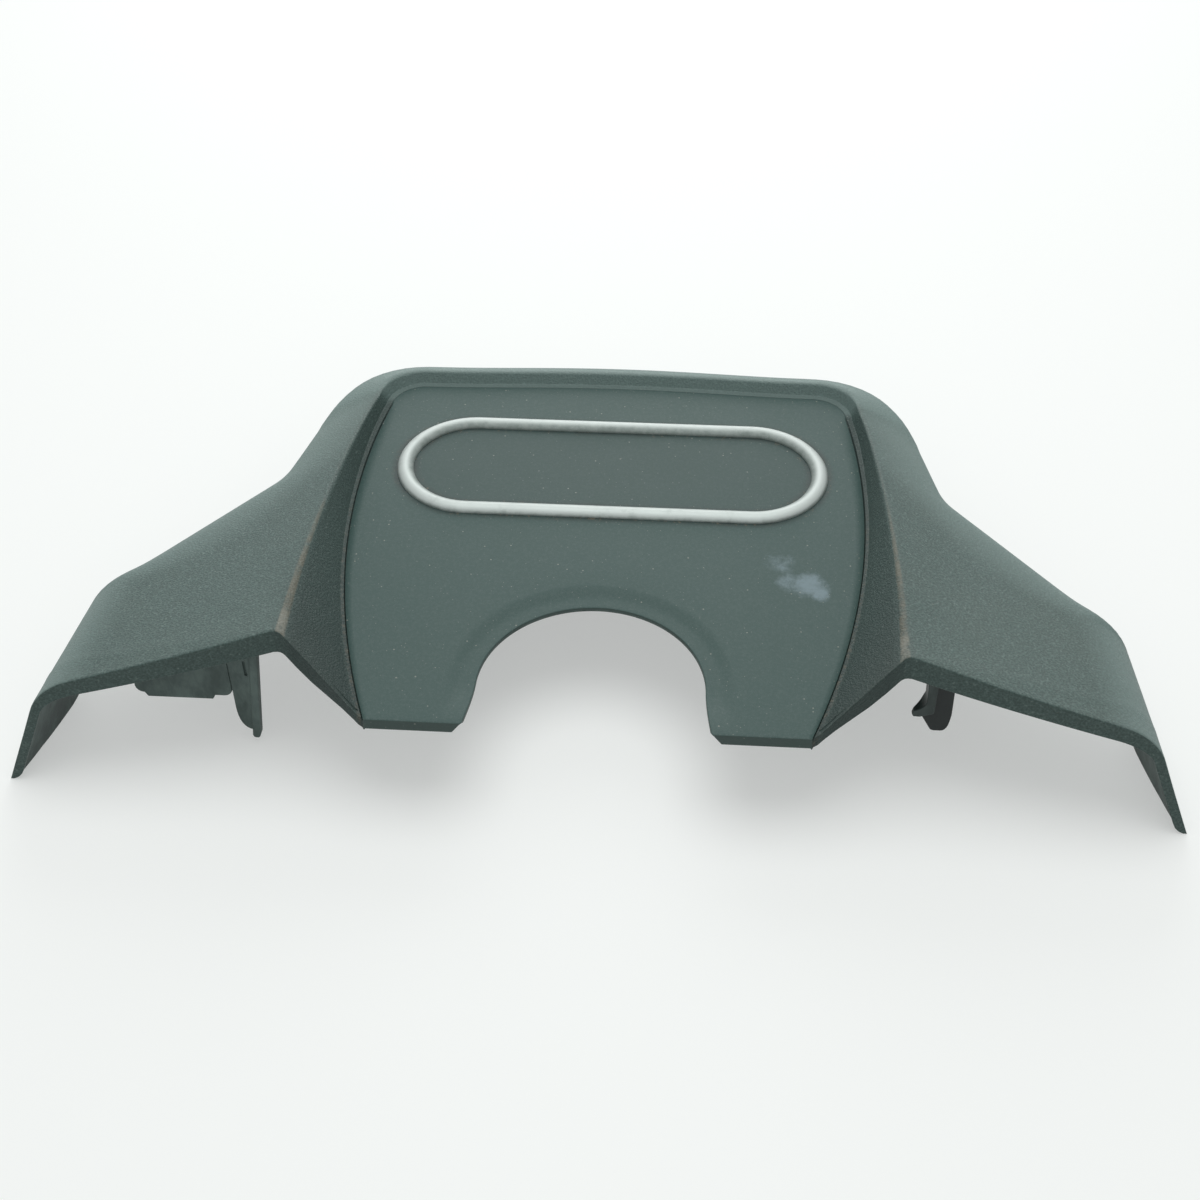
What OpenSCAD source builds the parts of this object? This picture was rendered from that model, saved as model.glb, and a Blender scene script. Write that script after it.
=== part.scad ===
// Engine cover: one moulded shell with two wings, a sunk centre panel and a round cut-out at the front.
// A plain bright ring lies on the panel, and three rubber grommets sit in seats underneath.
// Millimetres. +X is to the right, +Y to the back and +Z up. The wing tips and rear seats stand on z = 0.

/* [Centre panel] */
// Full width of the sunk panel where it is widest
panel_w = 258; // [220:1:300]
// Full width of the panel at its front edge
foot_w = 197; // [170:1:215]
// Distance of the widest place behind the front edge
wide_y = 160; // [120:1:190]
// Depth of the panel from its front edge to the crease at the back
panel_d = 249; // [215:1:290]
// Full width of the panel where its back corners begin
back_w = 246; // [210:1:256]
// Radius of the panel's back corners
corner_r = 17; // [12:0.5:24]
// How far the back bows outward at its middle
back_bow = 3.5; // [2:0.25:5]
// Height of the panel's front edge above the table
panel_z = 50.5; // [44:0.5:62]
// Rise of the panel toward the back, per unit of depth
panel_rise = 0.0507; // [0.03:0.001:0.07]

/* [Cut-out] */
// Radius of the round end of the cut-out
cut_r = 52; // [40:0.5:62]
// Distance of that radius's centre behind the front edge
cut_y = 26; // [18:0.5:34]
// Extra half-width of the cut-out where it opens to the front
cut_flare = 3; // [1:0.5:6]
// Width of the flat band along the edge of the cut-out
lip_w = 8; // [5:0.5:11]
// Depth of that band below the panel
lip_step = 1.6; // [0.8:0.1:2.4]

/* [Panel edge] */
// Width of the groove along each side of the panel
groove_w = 1.2; // [0.8:0.1:2]
// Depth of that groove
groove_d = 1; // [0.6:0.1:1.5]
// Width of the narrow ledge outside the groove
ledge_w = 2.4; // [1.5:0.1:4]

/* [Ridges and rim] */
// Distance of each ridge's front corner behind the front edge of the panel
kink_y = 23.6; // [18:0.2:30]
// Height of a ridge's front corner above the table
kink_z = 79.2; // [70:0.5:95]
// Height of the rim at the back above the table
rim_z = 69.5; // [68:0.5:84]
// Width of the inner slope of a ridge at its front corner
slope_front = 27.8; // [20:0.2:36]
// Width of the inner slope at the back
slope_back = 3; // [2:0.1:5]
// Length over which that width stays even before a back corner
slope_run = 30; // [20:1:40]
// Radius along the top of the ridges
crest_r = 2.4; // [2:0.1:4]
// Radius along the top of the rim at the back
crest_back = 4.5; // [3:0.1:5.5]
// Width of the rim behind its crest
rim_w = 8; // [6:0.1:10]
// Fall of the rim outward, per unit of width
rim_fall = 0.15; // [0.1:0.01:0.2]
// Radius of the rim's outer edge
rim_round = 2.5; // [1.5:0.1:3.5]
// Depth of the wall that hangs from the back of the rim
back_wall = 22; // [12:0.5:30]

/* [Wings] */
// Half-width of the cover at which the wings begin to turn down
bend_x = 233; // [210:1:270]
// Radius of that bend
bend_r = 28; // [20:0.5:36]
// Angle of the turned-down tips below the horizontal
tip_lean = 67; // [60:1:76]
// Added to that angle for each millimetre toward the back
tip_twist = 0.26; // [0:0.02:0.3]
// Fall of a wing toward its tip, per unit of width
wing_fall = 0.24; // [0.18:0.01:0.3]
// Fall of a wing toward the back, per unit of depth
wing_back_fall = 0.1125; // [0.09:0.0025:0.14]
// Steepest fall of a wing beside the ridge, at its back edge
flank_fall = 0.52; // [0.42:0.01:0.62]
// Softness of the valley where that fall meets the wing
valley = 2; // [1:0.1:3]
// How far the wings and hips roll off along their back edge
edge_roll = 2; // [1:0.1:3]
// Width of that roll
roll_w = 18; // [12:0.5:24]
// Length of the tips' edge that stands on the table
tip_run = 46; // [36:1:56]
// Half-width at the notch in the back edge
notch_x = 171.5; // [165:0.5:178]
// Distance of the notch behind the front edge
notch_y = 173.5; // [160:0.5:190]
// Half-width of the cover behind the notch
hip_x = 163.5; // [156:0.5:168]
// Distance of the place where the hips turn to the back, behind the front edge
hip_y = 217; // [206:1:224]
// Half-width of the outer back corner of a wing
back_x = 240; // [228:1:246]
// Distance of that corner behind the front edge
back_y = 90.5; // [80:0.5:102]
// Depth of the edge turned down along the back of a wing
wing_edge = 3; // [2.8:0.1:5]
// Depth of the plain edge at the tips
tip_edge = 1.2; // [0.8:0.1:2]
// Depth of the front band of a wing beside the ridge
band_in = 13; // [9:0.5:17]
// Depth of the front band where the wing turns down
band_out = 9; // [7:0.5:12]
// Depth of the front band at the tip
band_end = 5; // [4:0.25:7]
// Depth of the front band at the feet
band_foot = 6; // [5:0.25:8]
// Width of the slanting end of each foot beside the cut-out
foot_cut = 4.5; // [3:0.25:6]

/* [Wall] */
// Thickness of the moulding
wall = 2.6; // [2:0.1:3.2]
// Thickness of the stiffening ribs
rib_t = 2; // [1.5:0.1:2.6]
// Depth of the ribs below the panel
rib_h = 11; // [7:0.5:15]
// Distance of the two long ribs from the middle
rib_x = 64; // [58:1:70]
// Distance of their front ends behind the front edge
rib_y = 14; // [10:1:24]
// Distance of the middle cross rib in front of the ring's middle
rib_off = 10; // [6:0.5:16]
// Distance of the other cross ribs from the cut-out's band and from the back
rib_gap = 12; // [8:0.5:16]
// Thickness of the panel's ribs at their free edge
rib_tip = 1.4; // [1:0.1:1.8]
// Distance of the first rib under each wing behind the front edge
wing_rib_front = 76; // [70:1:84]
// Distance of the second rib under each wing behind the front edge
wing_rib_back = 112; // [104:1:120]

/* [Ring] */
// Length of the bright ring
ring_l = 224; // [190:1:240]
// Width of the bright ring from front to back
ring_w = 79; // [64:1:92]
// Width of the ring's own band
ring_band = 8.5; // [6:0.25:10]
// Height of the ring's crown above the panel
ring_h = 3.2; // [2:0.1:4.5]
// Depth of the bed that the ring lies in
bed_d = 0.8; // [0.5:0.1:1.2]
// Distance of the ring's middle behind the front edge
ring_y = 181; // [176:1:186]
// Diameter of the ring's pins
pin_d = 3; // [2:0.1:4]
// Distance of the four inner pins from the ring's middle
pin_x = 45; // [30:1:55]
// Length of a pin below the ring
pin_l = 4.2; // [3:0.1:6]
// Clearance around the ring and its pins
fit = 0.25; // [0.15:0.05:0.4]

/* [Grommets] */
// Outer diameter of a rubber grommet
grommet_d = 22; // [18:0.5:26]
// Height of a grommet
grommet_h = 16; // [13:0.5:20]
// Diameter of a grommet's waist
waist_d = 16.4; // [14:0.2:17.6]
// Diameter of the socket for the stud
socket_d = 10; // [8:0.5:12]
// Depth of that socket
socket_h = 12; // [9:0.5:12.5]
// Thickness of the plate that holds a grommet
seat_t = 2.6; // [2:0.1:3.4]
// Clearance between a grommet and its plate
seat_fit = 0.3; // [0.2:0.05:0.5]
// Height of the plate above the lower edge of its seat
seat_up = 8; // [7:0.25:10]
// Height of a grommet's lower flange
flange_h = 5; // [4:0.25:6]
// Free space between a rear grommet and the side walls of its seat
seat_room = 3; // [2:0.25:4]
// Free space between the front grommet and the side walls of its seat
front_room = 9.8; // [7:0.2:11]
// Thickness of a seat's walls
seat_wall = 2.2; // [1.6:0.1:3]
// Chamfer of a seat's lower corners
seat_cut = 4; // [2:0.25:5]
// Height of the small step beside those corners
seat_step = 2.5; // [1.5:0.25:3]
// Length of that step at the inner side of the front seat
seat_run = 4.5; // [3:0.25:7]
// Distance of the rear grommets from the middle
rear_x = 92; // [80:1:100]
// Distance of the rear grommets behind the front edge
rear_y = 208; // [195:1:220]
// Distance of the left front grommet from the middle
front_x = 190.5; // [186:0.5:197]
// Distance of the left front grommet behind the front edge
front_y = 46.5; // [42:0.5:56]
// Height of the left front seat's lower edge above the table
front_z = 28; // [22:0.5:33]

/* [Locating blade] */
// Distance of the blade's outer edge from the middle of the cover
blade_x = 167.2; // [164:0.2:170]
// Width of the blade at its root
blade_w = 16.8; // [13:0.2:19]
// Width of the blade at its end
blade_end = 9; // [7:0.5:11]
// Height of the blade's end above the table
blade_z = 9.3; // [6:0.1:14]
// Height of the slanting outer corner at that end
blade_cut = 15; // [11:0.5:18]
// Shift of the blade's inner edge outward, from its root to its end
blade_lean = 7.2; // [5:0.2:9]
// Depth of the rib along the blade's inner edge
blade_rib = 4.5; // [3.5:0.25:7]
// How far that rib stands out at the front of the blade
blade_step = 0.8; // [0.4:0.1:1.2]
// Width of that rib
blade_rib_w = 3.8; // [2.8:0.1:5]
// Length of that rib beyond the blade's end
blade_nib = 4.6; // [3:0.2:6]
// Height of the narrow slot in the blade
slot_h = 9; // [6:0.5:12]
// Width of that slot
slot_w = 1.2; // [0.8:0.1:1.6]
// Height of the slot's lower end above the table
slot_z = 44; // [40:0.5:48]
// Distance of the slot from the rib
slot_off = 1.2; // [0.8:0.1:2]
// Depth of the slot, which doesn't go through
slot_d = 1.2; // [0.8:0.1:1.3]
// Distance of the blade behind the front edge
blade_y = 30; // [28:0.5:36]

/* [Hook] */
// Distance of the hook's outer edge from the middle
hook_x = 163.5; // [158:0.5:168]
// Width of the hook's stem
hook_w = 13; // [10:0.5:15]
// Reach of the barb beyond the stem
barb = 5.5; // [4:0.5:8]
// Height over which the barb swells out of the stem
barb_rise = 7.5; // [6:0.25:9]
// Height of the barb's point above the table
barb_z = 40.3; // [37:0.1:43]
// Height of the hook's lowest point above the table
hook_z = 27.9; // [24:0.1:31]
// Length of the hook from front to back
hook_l = 8; // [5:0.5:12]
// Height of the narrowing toward the hook's lowest point
hook_cut = 10; // [7:0.5:12]
// How far the hook's body is set back behind its barb
hook_step = 2.5; // [1.5:0.25:4]
// Distance of the hook behind the front edge
hook_y = 28; // [26:0.5:34]

/* [Hidden] */
eps = 0.01;
front_y0 = -1;
// Numbers of lines along the sides, round a back corner and along the back, for one half
side_n = 16;
corner_n = 5;
back_n = 4;
half_n = side_n + corner_n + back_n;
side_end = panel_d + front_y0 - corner_r;
edge_w = groove_w + ledge_w;
crest_off = edge_w + slope_back;
fall_angle = atan(wing_fall);
corner_side = [hip_x, hip_y];
corner_back = [back_w / 2 - corner_r - crest_off, panel_d + front_y0 + crest_off + rim_w];
mid_y = (corner_back.y + back_bow + front_y0) / 2;

function lerp(a, b, t) = a + (b - a) * t;
function clamp01(t) = min(1, max(0, t));
function unit(v) = v / max(norm(v), eps);
function smooth(t) = let (c = clamp01(t)) c * c * (3 - 2 * c);
function curve(a, b, c, t) = lerp(lerp(a, b, t), lerp(b, c, t), t);
function soft_max(a, b, k) = max(a, b) + pow(max(0, k - abs(a - b)), 2) / (4 * k);

// Heights of the panel, of a ridge's crest and of a wing before it turns down
function panel_h(y) = panel_z + panel_rise * y;
function crest_h(y) = lerp(kink_z, rim_z, clamp01((y - kink_y) / (side_end - kink_y)));
function flank(y) = lerp(wing_fall, flank_fall, pow(clamp01((y - kink_y) / (notch_y - kink_y)), 0.7));
function wing_plane(x, y) =
    kink_z - wing_fall * (x - ridge_x(kink_y)) - wing_back_fall * (y - kink_y);
function wing_h(x, y) =
    soft_max(crest_h(y) - flank(y) * (x - ridge_x(y)), wing_plane(x, y), valley);

// Half-width of the panel, and of a ridge, at a distance behind the front edge
function panel_x(y) = y < wide_y
    ? lerp(panel_w, foot_w, pow((wide_y - y) / (wide_y - front_y0), 2)) / 2
    : lerp(panel_w, back_w, pow((y - wide_y) / (side_end - wide_y), 2)) / 2;
function ridge_x(y) = let (y1 = side_end - slope_run) panel_x(y) + edge_w
    + lerp(slope_back, slope_front, pow(clamp01((y1 - y) / (y1 - kink_y)), 2));

// A wing's point from its distance along the skin and its distance behind the front edge
function lean(y) = min(88, tip_lean + tip_twist * max(0, y));
function bend_arc(y) = bend_r * (lean(y) - fall_angle) * PI / 180;
function curled(p, y) = p <= bend_x ? [p, y, wing_h(p, y)] : let (
    a = min(lean(y), fall_angle + (p - bend_x) / bend_r * 180 / PI),
    rest = max(0, p - bend_x - bend_arc(y)))
    [bend_x + bend_r * (sin(a) - sin(fall_angle)) + rest * cos(a), y,
     wing_h(bend_x, y) - bend_r * (cos(fall_angle) - cos(a)) - rest * sin(a)];
// The distance along the skin at which a tip reaches a height
function skin_at(y, z) = bend_x + bend_arc(y)
    + (wing_h(bend_x, y) - bend_r * (cos(fall_angle) - cos(lean(y))) - z) / sin(lean(y));

// Plan of the cut-out's edge and the direction away from it, for a station from 0 at the front to 3
function cut_angle(s) = s < 1 ? 50 * clamp01((s - 0.15) / 0.85)
    : s < 2 ? 50 + 6 * (s - 1) : 56 + 34 * (s - 2);
function cut_dir(s) = [cos(cut_angle(s)), sin(cut_angle(s))];
function cut_edge(s) = s < 0.15
    ? [cut_r + cut_flare * pow(1 - s / 0.15, 1.5), lerp(front_y0, cut_y, s / 0.15)]
    : [0, cut_y] + cut_r * cut_dir(s);

// Plan of a line that runs round the panel at a distance outside its edge
function bow(u) = back_bow * pow(1 - u * u, 2);
function round_back(s, off) = let (
    c = [back_w / 2 - corner_r, side_end], r = corner_r + off, a = 90 * (s - 1))
    s < 2 ? c + r * [cos(a), sin(a)] : [c.x * (3 - s), c.y + r + bow(3 - s)];
function panel_edge(s) = s < 1
    ? let (y = lerp(front_y0, side_end, s)) [panel_x(y), y] : round_back(s, 0);
function crest_line(s) = s < 1
    ? let (y = lerp(kink_y, side_end, s)) [ridge_x(y), y] : round_back(s, crest_off);

// Plan of the outline: the tip's edge, its back corner, the wing's back edge, the notch and the rim
function outline(s) = let (
    low = skin_at(tip_run, tip_edge), back = [back_x, back_y], notch = [notch_x, notch_y],
    in_notch = lerp(back, notch, 0.93), out_notch = lerp(notch, corner_side, 0.2),
    tip_way = [[low, tip_run], [low - 6, back_y - 8]], before = curve(tip_way[0], tip_way[1], back, 0.65))
    s < 0.25 ? let (y = tip_run * s / 0.25) [skin_at(y, tip_edge), y]
    : s < 0.38 ? curve(tip_way[0], tip_way[1], back, (s - 0.25) / 0.2)
    : s < 0.52 ? curve(before, back, lerp(back, in_notch, 0.2), (s - 0.38) / 0.14)
    : s < 0.77 ? lerp(back, in_notch, 0.2 + 0.8 * (s - 0.52) / 0.25)
    : s < 0.87 ? curve(in_notch, notch, out_notch, (s - 0.77) / 0.1)
    : s < 1 ? lerp(out_notch, corner_side, (s - 0.87) / 0.13)
    : s < 2 ? curve(corner_side, [corner_side.x - crest_off, corner_back.y], corner_back, s - 1)
    : [corner_back.x * (3 - s), corner_back.y + bow(3 - s)];

// How far the groove is present at a station, and how deep the edge turned down there is
function groove_on(s) = 1 - smooth((s - 0.9) / 0.2);
function drop_at(s) = s < 0.6 ? lerp(tip_edge, wing_edge, smooth((s - 0.4) / 0.15))
    : lerp(wing_edge, back_wall, smooth((s - 0.9) / 1.2));

// Height beyond the crest, at a fraction of the way to the outline
wing_steps = [0.05, 0.16, 0.29, 0.42, 0.54, 0.59, 0.635, 0.68, 0.725, 0.77, 0.88, 1];
last_step = len(wing_steps) - 1;
function step_at(s, i) = lerp(wing_steps[i], lerp(0.5, 1, i / last_step), smooth(s - 1));
function front_bow(s, f) = s >= 1 ? 0 : pow(1 - s, 3) * kink_y * (pow(1 - f, 1.6) - (1 - f));
function wing_point(s, f) = let (
    a = crest_line(s), b = outline(s), q = lerp(a, b, f) + [0, front_bow(s, f)],
    left = (1 - f) * norm(b - a), turn = smooth(s - 1),
    roll = edge_roll * smooth((s - 0.4) / 0.15) * (1 - turn) * pow(1 - clamp01(left / roll_w), 2))
    s < 1 ? curled(q.x, q.y) - [0, 0, roll]
    : let (
        y = min(q.y, side_end), r = rim_round * turn,
        away = lerp(q.x - ridge_x(y), norm(q - a), turn),
        edge = left < r ? r - sqrt(r * r - pow(r - left, 2)) : 0)
      [q.x, q.y, crest_h(y) - lerp(flank_fall, rim_fall, clamp01(s - 1)) * away - edge - roll];

// One line of the outer skin, from the cut-out to the outline and down its edge
function flat3(q, z) = [q.x, q.y, z];
function skin_line(s, detail = 1) = let (
    c0 = cut_edge(s), cd = cut_dir(s), c1 = panel_edge(s), c2 = crest_line(s),
    out = unit(c2 - c1), g = groove_d * groove_on(s) * detail,
    lip = [for (d = [[0, 1], [0.5, 1], [0.9, 1], [1.15, 0.75], [1.4, 0.25], [1.7, 0]])
        let (q = c0 + cd * lip_w * d[0]) flat3(q, panel_h(q.y) - lip_step * smooth(s / 0.15) * d[1])],
    lip_end = c0 + cd * lip_w * 1.7,
    field = [for (f = [0.35, 0.7]) let (q = lerp(lip_end, c1, f)) flat3(q, panel_h(q.y))],
    edge = [for (d = [[0, 0], [0.3, 1], [0.7, 1], [1, 0]])
        let (q = c1 + out * groove_w * d[0]) flat3(q, panel_h(q.y) - g * d[1])],
    foot = let (q = c1 + out * edge_w) flat3(q, panel_h(q.y) + 0.3),
    top = flat3(c2, crest_h(s < 1 ? c2.y : side_end)),
    wing = [for (i = [0:last_step]) wing_point(s, step_at(s, i))],
    r = lerp(crest_r, crest_back, smooth(s - 1)),
    near = min(0.45, r * 0.8 / norm(top - foot)),
    past = top + unit(wing[0] - top) * min(r, norm(wing[0] - top) * 0.5),
    before = lerp(top, foot, near),
    round_top = lerp(top, (before + past) / 2, 0.45),
    slope = [foot, lerp(foot, top, 0.5), before, round_top, past],
    end = wing[last_step])
    concat(lip, field, edge, slope, wing, [end - edge_down(s)]);
function edge_down(s) = s < 0.4
    ? let (a = lean(tip_run * s / 0.25)) drop_at(s) * [-cos(a) / sin(a), 0, 1] : [0, 0, drop_at(s)];

// The front band: a strip that hangs from the first line and turns inward round the tips
cols = len(skin_line(0));
first_wing = cols - 2 - last_step;
function wing_step(j) = wing_steps[min(max(0, j - first_wing), last_step)];
function along(j) = lerp(ridge_x(kink_y), skin_at(0, 0), wing_step(j));
function band_depth(j) = j < first_wing - 4 ? band_foot
    : j < first_wing - 3 ? lerp(band_foot, band_in, 0.6)
    : along(j) < bend_x
      ? lerp(band_in, band_out, clamp01((along(j) - ridge_x(kink_y)) / (bend_x - ridge_x(kink_y))))
      : lerp(band_out, band_end, clamp01((along(j) - bend_x) / bend_arc(0)));
function band_turn(j) = j < first_wing ? 0 : 90 * clamp01((along(j) - bend_x) / bend_arc(0));
function foot_shift(x) = foot_cut * max(0, 1 - (x - cut_r - cut_flare) / (3 * foot_cut));
function band_line(line) = [for (j = [0:cols - 1])
    line[j] - band_depth(j) * [sin(band_turn(j)), 0, cos(band_turn(j))] + [foot_shift(line[j].x), 0, 0]];

// All lines, from the right band round the back to the left band
function station(i) = i < side_n ? pow(i / side_n, 1.15)
    : i < side_n + corner_n ? 1 + (i - side_n) / corner_n
    : 2 + (i - side_n - corner_n) / back_n;
function half_lines(detail) = let (
    lines = [for (i = [0:half_n]) skin_line(station(i), detail)])
    concat([band_line(lines[0])], lines);
function mirrored(line) = [for (q = line) [-q.x, q.y, q.z]];
function all_lines(detail) = let (h = half_lines(detail), n = len(h))
    concat(h, [for (i = [1:n - 1]) mirrored(h[n - 1 - i])]);

// Moves each point of a grid inward by the wall, at an even thickness
function quad_normal(g, i, j) = unit(cross(g[i + 1][j] - g[i][j + 1], g[i + 1][j + 1] - g[i][j]));
function inset(g, d) = let (
    n = len(g) - 1, m = len(g[0]) - 1,
    face = [for (i = [0:n - 1]) [for (j = [0:m - 1]) quad_normal(g, i, j)]])
    [for (i = [0:n]) [for (j = [0:m]) let (
        near = [for (a = [i - 1, i]) for (b = [j - 1, j])
            if (a >= 0 && a < n && b >= 0 && b < m) face[a][b]],
        v = unit(sum(near)),
        even = max(0.55, sum([for (k = near) k * v]) / len(near)),
        q = g[i][j] + v * d / even)
        [q.x, q.y, max(0, q.z)]]];
function sum(list, i = 0) = i == len(list) - 1 ? list[i] : list[i] + sum(list, i + 1);

module skin() {
    outer = all_lines(1);
    inner = inset(all_lines(0), wall);
    n = len(outer);
    m = len(outer[0]);
    points = concat([for (line = outer) each line], [for (line = inner) each line]);
    k = n * m;
    function two(a, b, c, d) = [[c, b, a], [d, c, a]];
    top = [for (i = [0:n - 2]) for (j = [0:m - 2])
        each two(i * m + j, i * m + j + 1, (i + 1) * m + j + 1, (i + 1) * m + j)];
    under = [for (i = [0:n - 2]) for (j = [0:m - 2])
        each two(k + i * m + j, k + (i + 1) * m + j, k + (i + 1) * m + j + 1, k + i * m + j + 1)];
    ends = [for (j = [0:m - 2]) each concat(
        two(j, k + j, k + j + 1, j + 1),
        two((n - 1) * m + j, (n - 1) * m + j + 1, k + (n - 1) * m + j + 1, k + (n - 1) * m + j))];
    sides = [for (i = [0:n - 2]) each concat(
        two(i * m, (i + 1) * m, k + (i + 1) * m, k + i * m),
        two(i * m + m - 1, k + i * m + m - 1, k + (i + 1) * m + m - 1, (i + 1) * m + m - 1))];
    polyhedron(points, concat(top, under, ends, sides), convexity = 10);
}

// Middle of the moulding's thickness above a point of the plan
function mid_h(x, y) = let (a = abs(x), p = panel_x(y) + edge_w, r = ridge_x(y))
    (a < p ? panel_h(y) : a < r ? lerp(panel_h(y), crest_h(y), (a - p) / (r - p)) : wing_h(a, y)) - wall / 2;

// An upright block that reaches from a height up into the moulding
module hung(x1, x2, y1, y2, z) {
    corners = [[x1, y1], [x2, y1], [x2, y2], [x1, y2]];
    polyhedron(
        concat([for (c = corners) flat3(c, z)], [for (c = corners) flat3(c, mid_h(c.x, c.y))]),
        [[0, 1, 2, 3], [7, 6, 5, 4], [0, 4, 5, 1], [1, 5, 6, 2], [2, 6, 7, 3], [3, 7, 4, 0]]);
}

// An upright plate with its face to the front, drawn by its outline in x and z
module plate(outline, y, t) translate([0, y + t, 0]) rotate([90, 0, 0])
    linear_extrude(t) polygon(outline);

// Places things on the slope of the panel, with z = 0 on its face
module on_panel() translate([0, 0, panel_z]) rotate([atan(panel_rise), 0, 0]) children();

// A rib with a little draft, from one point to another on the slope of the panel
module panel_rib(a, b) on_panel() hull() for (q = [a, b]) translate([q.x, q.y, 0]) {
    translate([-rib_t / 2, -rib_t / 2, -wall / 2 - 1]) cube([rib_t, rib_t, 1]);
    translate([-rib_tip / 2, -rib_tip / 2, -wall - rib_h]) cube(rib_tip);
}

// Half-width of a wing's back edge, at a distance behind the front edge
function back_edge_x(y) = lerp(back_x, notch_x, (y - back_y) / (notch_y - back_y));

// A rib under a wing, from beside the ridge outward
module wing_rib(side, y, x_end) {
    x1 = ridge_x(y) - 1;
    xs = [for (i = [0:3]) lerp(x1, x_end, i / 3)];
    for (i = [0:2]) hull() for (x = [xs[i], xs[i + 1]])
        translate([side * x - rib_t / 2, y, mid_h(x, y) - rib_h]) cube([rib_t, rib_t, rib_h]);
}

// A seat for a grommet: a front wall, two side walls and a plate with a slot that is open to the back
module seat(x, y, foot, room, run = 0) {
    half = grommet_d / 2 + room;
    out = half + seat_wall;
    corner = [[0, seat_cut], [0.3 * seat_cut, 0.3 * seat_cut], [seat_cut, 0]];
    y1 = y - grommet_d / 2 - seat_room - seat_wall;
    y2 = y + grommet_d / 2 + seat_room;
    slot = waist_d + 2 * seat_fit;
    plate(concat(
        [[x - out, mid_h(x - out, y1)]], [for (c = corner) [x - out + c.x, foot + seat_step + c.y]],
        [[x - out + seat_cut + seat_step / 2, foot], [x + out - seat_cut - run - seat_step / 2, foot],
         [x + out - seat_cut - run, foot + seat_step]],
        [for (i = [run > 0 ? 2 : 1:-1:0]) [x + out - corner[i].x, foot + seat_step + corner[i].y]],
        [[x + out, mid_h(x + out, y1)]]), y1, seat_wall);
    for (d = [-1, 1]) let (a = x + d * (out - seat_wall * 0.15), b = x + d * half)
        hung(min(a, b), max(a, b), y1 + seat_wall / 2, y2, foot + seat_step + seat_cut + 0.5);
    difference() {
        translate([x - half - seat_wall / 2, y1 + seat_wall / 2, foot + seat_up])
            cube([2 * half + seat_wall, y2 - y1 - seat_wall, seat_t]);
        translate([x, y, foot + seat_up - 1]) hull() {
            cylinder(d = slot, h = seat_t + 2, $fn = 40);
            translate([0, y2 - y, 0]) cylinder(d = slot, h = seat_t + 2, $fn = 40);
        }
    }
}

// A flat tab that tapers downward, with a narrow slot and a rib along its inner edge
module blade() {
    root = blade_w - blade_x;
    end = root - blade_lean;
    far = end - blade_end;
    top = mid_h(-root, blade_y);
    rib_top = lerp(root, end, (top - slot_z) / (top - blade_z)) - blade_rib_w;
    difference() {
        plate([[-blade_x, mid_h(blade_x, blade_y)], [-blade_x, blade_z + blade_cut],
            [far + 0.4, blade_z + 4], [far + 3, blade_z + 0.4], [far + 6, blade_z],
            [end - 1, blade_z], [root - 1, top]], blade_y, rib_t);
        translate([rib_top - slot_off - slot_w, blade_y - 1, slot_z]) cube([slot_w, slot_d + 1, slot_h]);
    }
    plate([[root - blade_rib_w, top], [end - blade_rib_w, blade_z - blade_nib + 1.5],
        [end - blade_rib_w * 0.7, blade_z - blade_nib], [end - blade_rib_w * 0.3, blade_z - blade_nib],
        [end, blade_z - blade_nib + 2], [root, top - 0.5]], blade_y - blade_step, blade_rib);
}

// A hook: a stem with a barb toward the middle of the cover, and a body that is set back behind it
module hook() {
    x1 = hook_x - hook_w;
    edge = x1 + hook_w * 0.35;
    top = mid_h(hook_x, hook_y + hook_l);
    plate([[x1 - 0.5, top], [x1 + 0.5, barb_z + barb_rise], [x1 - 0.8, barb_z + 4.6],
        [x1 - barb + 1.2, barb_z + 2], [x1 - barb, barb_z], [x1 - barb + 0.8, barb_z - 1.6],
        [x1 - 1.8, barb_z - 1.8], [edge - 1, barb_z], [edge, barb_z + 1.2], [edge, top]], hook_y, hook_l);
    plate([[x1 + 2, top], [x1 + 2, barb_z], [x1 - 1.5, barb_z - 1.5], [x1 + 4, hook_z + 1.2],
        [x1 + 5.5, hook_z], [hook_x - 3, hook_z], [hook_x - 0.6, hook_z + 3.5], [hook_x, hook_z + hook_cut],
        [hook_x - 1, top]], hook_y + hook_step, hook_l - hook_step);
}

// Outline of the ring's bed or of its outside, as a long round shape
module stadium(l, w) hull() for (d = [-1, 1]) translate([d * (l - w) / 2, 0]) circle(d = w, $fn = 48);
ring_r = (ring_w - ring_band) / 2;
ring_half = (ring_l - ring_w) / 2;
pins = concat([for (d = [-1, 1]) [d * (ring_half + ring_r), 0]],
    [for (d = [-1, 1]) for (e = [-1, 1]) [d * pin_x, e * ring_r]]);
module at_ring() on_panel() translate([0, ring_y / cos(atan(panel_rise)), 0]) children();
module ring_bed() at_ring() {
    translate([0, 0, -bed_d]) linear_extrude(bed_d + 2) difference() {
        stadium(ring_l + 2 * fit, ring_w + 2 * fit);
        stadium(ring_l - 2 * ring_band - 2 * fit, ring_w - 2 * ring_band - 2 * fit);
    }
    for (q = pins) translate([q.x, q.y, -wall - 3]) cylinder(d = pin_d + 2 * fit, h = wall + 4, $fn = 16);
}

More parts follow.
